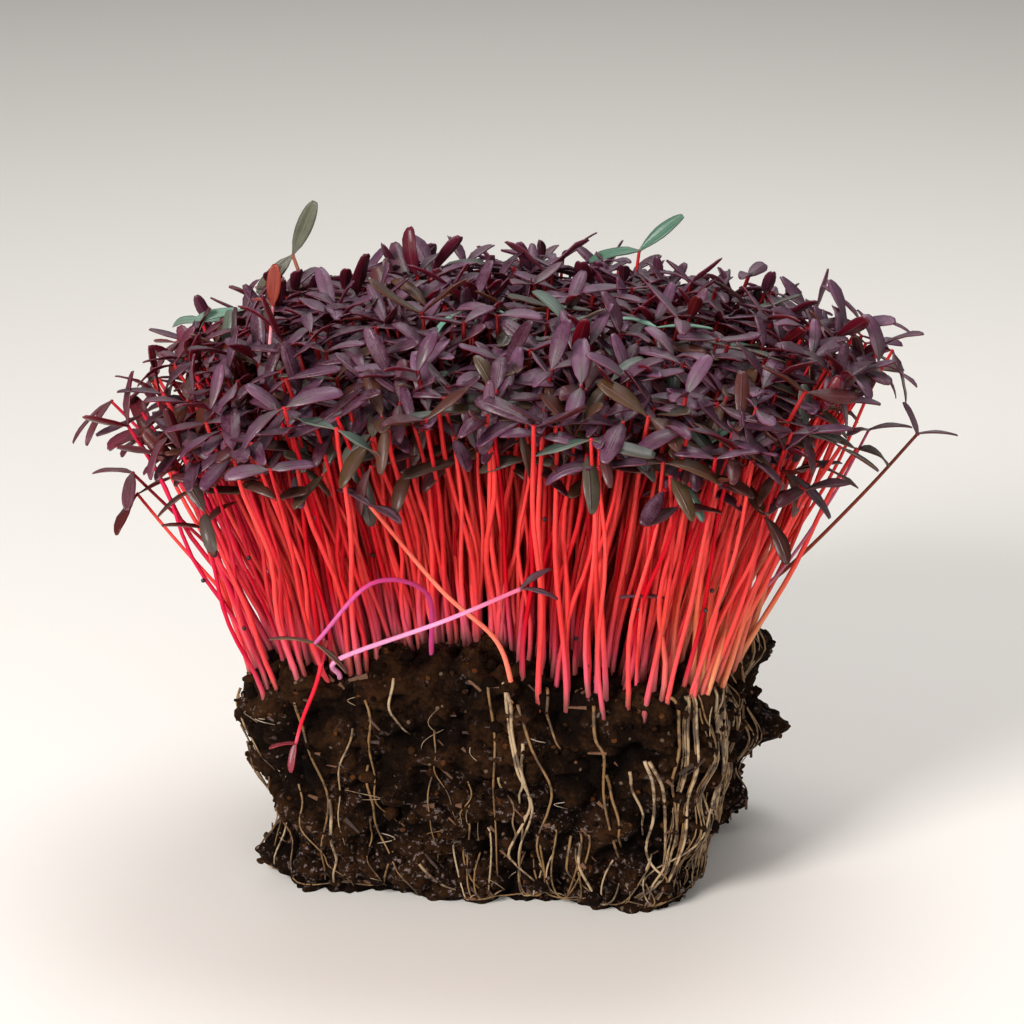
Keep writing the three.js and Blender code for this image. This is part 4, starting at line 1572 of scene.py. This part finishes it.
STRAYS = (
    Stray(
        "tall_seedling",
        ((-28.5, 23.2, 46), (-29.5, 23.8, 60), (-39, 28, 90), (-52, 32, 124)),
        (Spread(0.0, 1.15, 14 * MM, 4.8 * MM, -0.1, facing=0.9),
         Spread(-2.9, -0.8, 12.5 * MM, 4.6 * MM, 0.25, facing=0.8)),
        StemFinish("tall_stem", (0.35, 0.12, 0.08), (0.3, 0.08, 0.06), (0.5, 0.25, 0.2),
                   (0.2, 0.1, 0.05)),
        LeafFinish("sage_leaves", SAGE, plain_ramp((0.08, 0.06, 0.035)), (0.2, 0.18, 0.12),
                   (0.17, 0.18, 0.13)),
        node="seedling_tall",
    ),
    Stray(
        "fallen_seedling",
        ((-28.5, -36.3, 46), (-28.7, -38.5, 50), (-27.5, -44, 55.5), (-3.4, -57, 69), (13, -65.5, 79)),
        (Spread(-0.15, 0.0, 8 * MM, 2.6 * MM), Spread(0.7, 0.6, 8 * MM, 2.6 * MM)),
        StemFinish("lilac_stem", (0.68, 0.27, 0.46), (0.58, 0.17, 0.32), (0.75, 0.2, 0.16),
                   (0.5, 0.03, 0.07)),
        LeafFinish("fallen_leaves", PLUM, WINE),
        radius=0.62 * MM,
        node="seedling_fallen",
    ),
    Stray(
        "drooping_seedling",
        ((-9.5, -36.3, 46), (-9.5, -37.5, 56), (-8, -52, 73), (-17, -63, 78), (-28, -66, 66)),
        (Spread(3.0, 0.2, 10 * MM, 1.9 * MM), Spread(-0.25, -0.45, 9 * MM, 2.0 * MM)),
        StemFinish("rose_stem", (0.5, 0.05, 0.2), (0.36, 0.02, 0.1), (0.6, 0.16, 0.3),
                   (0.46, 0.12, 0.3)),
        LeafFinish("drooping_leaves", OLIVE, plain_ramp((0.12, 0.045, 0.012))),
        node="seedling_drooping",
    ),
    Stray(
        "right_seedling",
        ((45.4, -8, 46), (46.2, -8, 54), (62, -8, 68), (77, -6, 84), (88, -4, 97)),
        (Spread(0.2, 0.15, 9 * MM, 1.8 * MM), Spread(2.3, 1.1, 8 * MM, 1.8 * MM)),
        StemFinish("brown_stem", (0.22, 0.05, 0.025), (0.14, 0.025, 0.012), (0.3, 0.12, 0.06),
                   (0.07, 0.012, 0.01)),
        WINE_LEAVES,
        radius=0.5 * MM,
        node="seedling_right",
    ),
    Stray(
        "left_seedling",
        ((-45.4, -8.2, 46), (-46, -8.6, 54), (-60, -16, 69), (-75, -25, 88)),
        (Spread(2.9, 0.1, 10 * MM, 3.4 * MM), Spread(-1.5, -0.5, 10 * MM, 3.6 * MM)),
        StemFinish("left_stem", (0.35, 0.02, 0.02), (0.25, 0.008, 0.012), (0.5, 0.03, 0.03),
                   (0.2, 0.006, 0.01)),
        WINE_LEAVES,
        radius=0.5 * MM,
        node="seedling_left",
    ),
    Stray(
        "low_seedling",
        ((-31, -40, 58), (-32.5, -43.5, 50), (-35, -45.8, 43), (-36.5, -46.6, 37.5)),
        (Spread(-2.9, 0.05, 6 * MM, 2.0 * MM), Spread(-1.9, -1.0, 6.5 * MM, 2.0 * MM)),
        StemFinish("low_stem", (0.6, 0.01, 0.03), (0.5, 0.006, 0.02), (0.7, 0.05, 0.08),
                   (0.66, 0.1, 0.16)),
        LeafFinish("low_leaves", plain_ramp((0.2, 0.004, 0.008)), plain_ramp((0.24, 0.004, 0.008))),
        radius=0.5 * MM,
    ),
    Stray(
        "crossing_seedling",
        ((7.6, -39.5, 46), (7.8, -42, 51), (5.3, -48, 62.6), (-4.6, -55, 74.8), (-17.7, -60, 93)),
        (Spread(2.4, 0.3, 11 * MM, 3.6 * MM), Spread(-0.8, 0.1, 11 * MM, 3.6 * MM)),
        StemFinish("crossing_stem", (0.82, 0.2, 0.13), (0.75, 0.14, 0.1), (0.5, 0.29, 0.1)),
        WINE_LEAVES,
    ),
    Stray(
        "brick_seedling",
        ((-45, -28, 103), (-44.4, -29, 113), (-43, -30, 126)),
        (Spread(-0.4, 1.48, 9 * MM, 3.7 * MM, 0.1, facing=0.95), Spread(2.6, 0.3, 6 * MM, 2.0 * MM)),
        PALE_STEM,
        LeafFinish("brick_leaves", BRICK, BRICK, dust_and_sheen=(0.22, 0.03, 0.012), sage=(0.16, 0.02, 0.008)),
        radius=0.5 * MM,
    ),
    Stray(
        "teal_seedling_middle",
        ((-8, -18, 100), (-7.4, -19.5, 112), (-7, -20, 123)),
        (Spread(-0.1, 0.5, 12 * MM, 2.6 * MM, 0.9), Spread(-2.4, -0.3, 9 * MM, 2.4 * MM, 0.9)),
        PALE_STEM,
        TEAL_LEAVES,
        radius=0.5 * MM,
    ),
    Stray(
        "teal_seedling_right",
        ((33.5, -18, 100), (34.2, -19.5, 112), (34.5, -20, 121.5)),
        (Spread(2.8, 0.35, 11 * MM, 3 * MM, 0.6), Spread(0.05, 0.15, 12 * MM, 2.2 * MM, 0.3)),
        StemFinish("red_stem"),
        TEAL_LEAVES,
        radius=0.5 * MM,
    ),
    Stray(
        "teal_seedling_back",
        ((20, 44, 102), (23, 45, 114), (24.5, 45, 124.5)),
        (Spread(0.1, 0.72, 13 * MM, 4 * MM, 0.1, facing=0.6),
         Spread(-2.9, 0.0, 12 * MM, 4.2 * MM, 0.5, facing=0.4)),
        StemFinish("back_stem"),
        GREEN_LEAVES,
        radius=0.5 * MM,
    ),
    Stray(
        "teal_seedling_left",
        ((-62, 14, 92), (-66, 14.5, 103), (-69, 15, 112)),
        (Spread(3.0, 0.15, 9 * MM, 3.2 * MM, 0.9, facing=0.5),
         Spread(-0.5, 0.35, 13 * MM, 3.2 * MM, 0.8, facing=0.5)),
        StemFinish("upper_left_stem"),
        TEAL_LEAVES,
        radius=0.5 * MM,
    ),
    Stray(
        "teal_seedling_upper",
        ((-52, 2, 98), (-54.5, 2.5, 108), (-56, 3, 117)),
        (Spread(-2.8, 0.1, 12 * MM, 3.4 * MM, 0.6, facing=0.5),
         Spread(0.3, 0.35, 12 * MM, 3.0 * MM, 0.9, facing=0.4)),
        StemFinish("upper_stem"),
        TEAL_LEAVES,
        radius=0.5 * MM,
    ),
    Stray(
        "outlying_seedling",
        ((-45.6, 2, 47), (-47, 2, 55), (-64, 1, 74), (-80, 0, 91), (-86, 0, 97)),
        (Spread(-2.8, -0.55, 13 * MM, 3.2 * MM, 0.5), Spread(-2.1, -0.5, 12 * MM, 2.4 * MM, 0.6)),
        StemFinish("outlying_stem", (0.4, 0.02, 0.05), (0.35, 0.01, 0.03)),
        LeafFinish("outlying_leaves", plain_ramp((0.07, 0.01, 0.01)), WINE),
        radius=0.5 * MM,
    ),
    Stray(
        "lilac_seedling",
        ((45.6, -15, 47), (47, -15, 54), (60, -14, 68), (71, -12, 85), (78, -10, 99)),
        (Spread(0.4, 0.2, 10 * MM, 3 * MM), Spread(-2.0, 0.3, 10 * MM, 3 * MM)),
        StemFinish("thin_lilac_stem", (0.42, 0.12, 0.2), (0.3, 0.06, 0.12), (0.5, 0.24, 0.16),
                   (0.3, 0.02, 0.06)),
        WINE_LEAVES,
        radius=0.42 * MM,
    ),
    Stray(
        "drooping_right_seedling",
        ((44, -26, 47), (45, -27, 55), (56, -30, 76), (63, -32, 95)),
        (Spread(-0.35, -0.6, 12.5 * MM, 4.2 * MM, 0.3), Spread(0.5, 0.25, 12 * MM, 3.8 * MM, 0.3)),
        StemFinish("drooping_right_stem"),
        LeafFinish("slate_leaves", plain_ramp((0.07, 0.045, 0.055)), WINE),
    ),
    Stray(
        "small_seedling",
        ((33, -37, 47), (33.4, -41, 57), (34.4, -47, 66), (35, -48.5, 73)),
        (Spread(0.1, 0.0, 5 * MM, 1.8 * MM, 0.1), Spread(3.3, 0.0, 5 * MM, 1.8 * MM, 0.1)),
        StemFinish("small_stem"),
        LeafFinish("small_leaves", WINE, WINE),
        radius=0.45 * MM,
    ),
)


@dataclass(frozen=True)
class Light:
    """A soft square light: where it is, its side in metres and its power in watts."""

    name: str
    place: tuple[float, float, float]
    side: float
    power: float
    colour: Colour = (1.0, 1.0, 1.0)


@dataclass
class Studio:
    """The camera at the photograph's angle, soft lights and a plain pale floor."""

    azimuth: float = 8.0
    elevation: float = 16.0
    distance: float = 0.66
    lens: float = 107.6
    target: Vector = field(default_factory=lambda: Vector((0.002, 0.0, 0.0755)))
    floor_colour: Colour = (0.8, 0.77, 0.73)
    sky: float = 0.27
    sky_colour: Colour = (1.0, 0.985, 0.96)
    floor_half: float = 8.0
    lights: tuple[Light, ...] = (
        Light("key_light", (-0.6, -1.05, 0.66), 0.42, 22.0, (1.0, 0.98, 0.95)),
        Light("fill_light", (0.55, -1.2, 0.28), 0.7, 7.0, (1.0, 0.98, 0.96)),
        Light("top_light", (0.1, 0.35, 1.1), 0.6, 6.0),
        Light("back_light", (-0.2, 1.5, 1.3), 1.4, 5.0),
    )

    def build(self) -> None:
        """Make the camera, the lights, the sky and the floor."""
        self._camera()
        for light in self.lights:
            self._light(light)
        self._sky()
        self._floor()
        bpy.context.scene.view_settings.view_transform = "Standard"

    def _camera(self) -> None:
        """Aim the camera at the middle of the object."""
        turn, rise = math.radians(self.azimuth), math.radians(self.elevation)
        level = math.cos(rise)
        back = Vector((math.sin(turn) * level, -math.cos(turn) * level, math.sin(rise)))
        data = bpy.data.cameras.new("camera")
        data.lens = self.lens
        data.sensor_width = 36.0
        camera = bpy.data.objects.new("camera", data)
        camera.location = self.target + back * self.distance
        camera.rotation_euler = (-back).to_track_quat("-Z", "Y").to_euler()
        bpy.context.scene.collection.objects.link(camera)
        bpy.context.scene.camera = camera

    def _light(self, light: Light) -> None:
        """Hang one soft light, turned to the object."""
        data = bpy.data.lights.new(light.name, "AREA")
        data.shape = "SQUARE"
        data.size = light.side
        data.energy = light.power
        data.color = light.colour
        lamp = bpy.data.objects.new(light.name, data)
        lamp.location = light.place
        aim = self.target - Vector(light.place)
        lamp.rotation_euler = aim.to_track_quat("-Z", "Y").to_euler()
        bpy.context.scene.collection.objects.link(lamp)

    def _sky(self) -> None:
        """Give the world a plain pale light."""
        world = bpy.data.worlds.new("studio")
        world.use_nodes = True
        background = world.node_tree.nodes["Background"]
        background.inputs["Color"].default_value = (*self.sky_colour, 1.0)
        background.inputs["Strength"].default_value = self.sky
        bpy.context.scene.world = world

    def _floor(self) -> None:
        """Lay the floor."""
        bm = bmesh.new()
        bmesh.ops.create_grid(bm, x_segments=4, y_segments=4, size=self.floor_half)
        mesh = bpy.data.meshes.new("floor")
        bm.to_mesh(mesh)
        bm.free()
        shader = Shader("pale_floor")
        tone = shader.noise(3.0, 2.0)
        lighter = tuple(min(1.0, 1.03 * c) for c in self.floor_colour)
        mesh.materials.append(shader.finish(
            base_color=shader.mix(tone, self.floor_colour, lighter), roughness=0.6))
        floor = bpy.data.objects.new("floor", mesh)
        bpy.context.scene.collection.objects.link(floor)


def main() -> None:
    """Build the pieces in order."""
    logging.basicConfig(level=logging.INFO, format="%(message)s")
    noise.seed_set(NOISE_SEED)  # Noise vectors follow the clock until this is set.
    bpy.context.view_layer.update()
    Studio().build()
    form = SoilForm()
    SoilBlock(form).build()
    RootMat(form).build()
    SeedlingStand(form).build()
    for stray in STRAYS:
        stray.build()


if __name__ == "__main__":
    main()
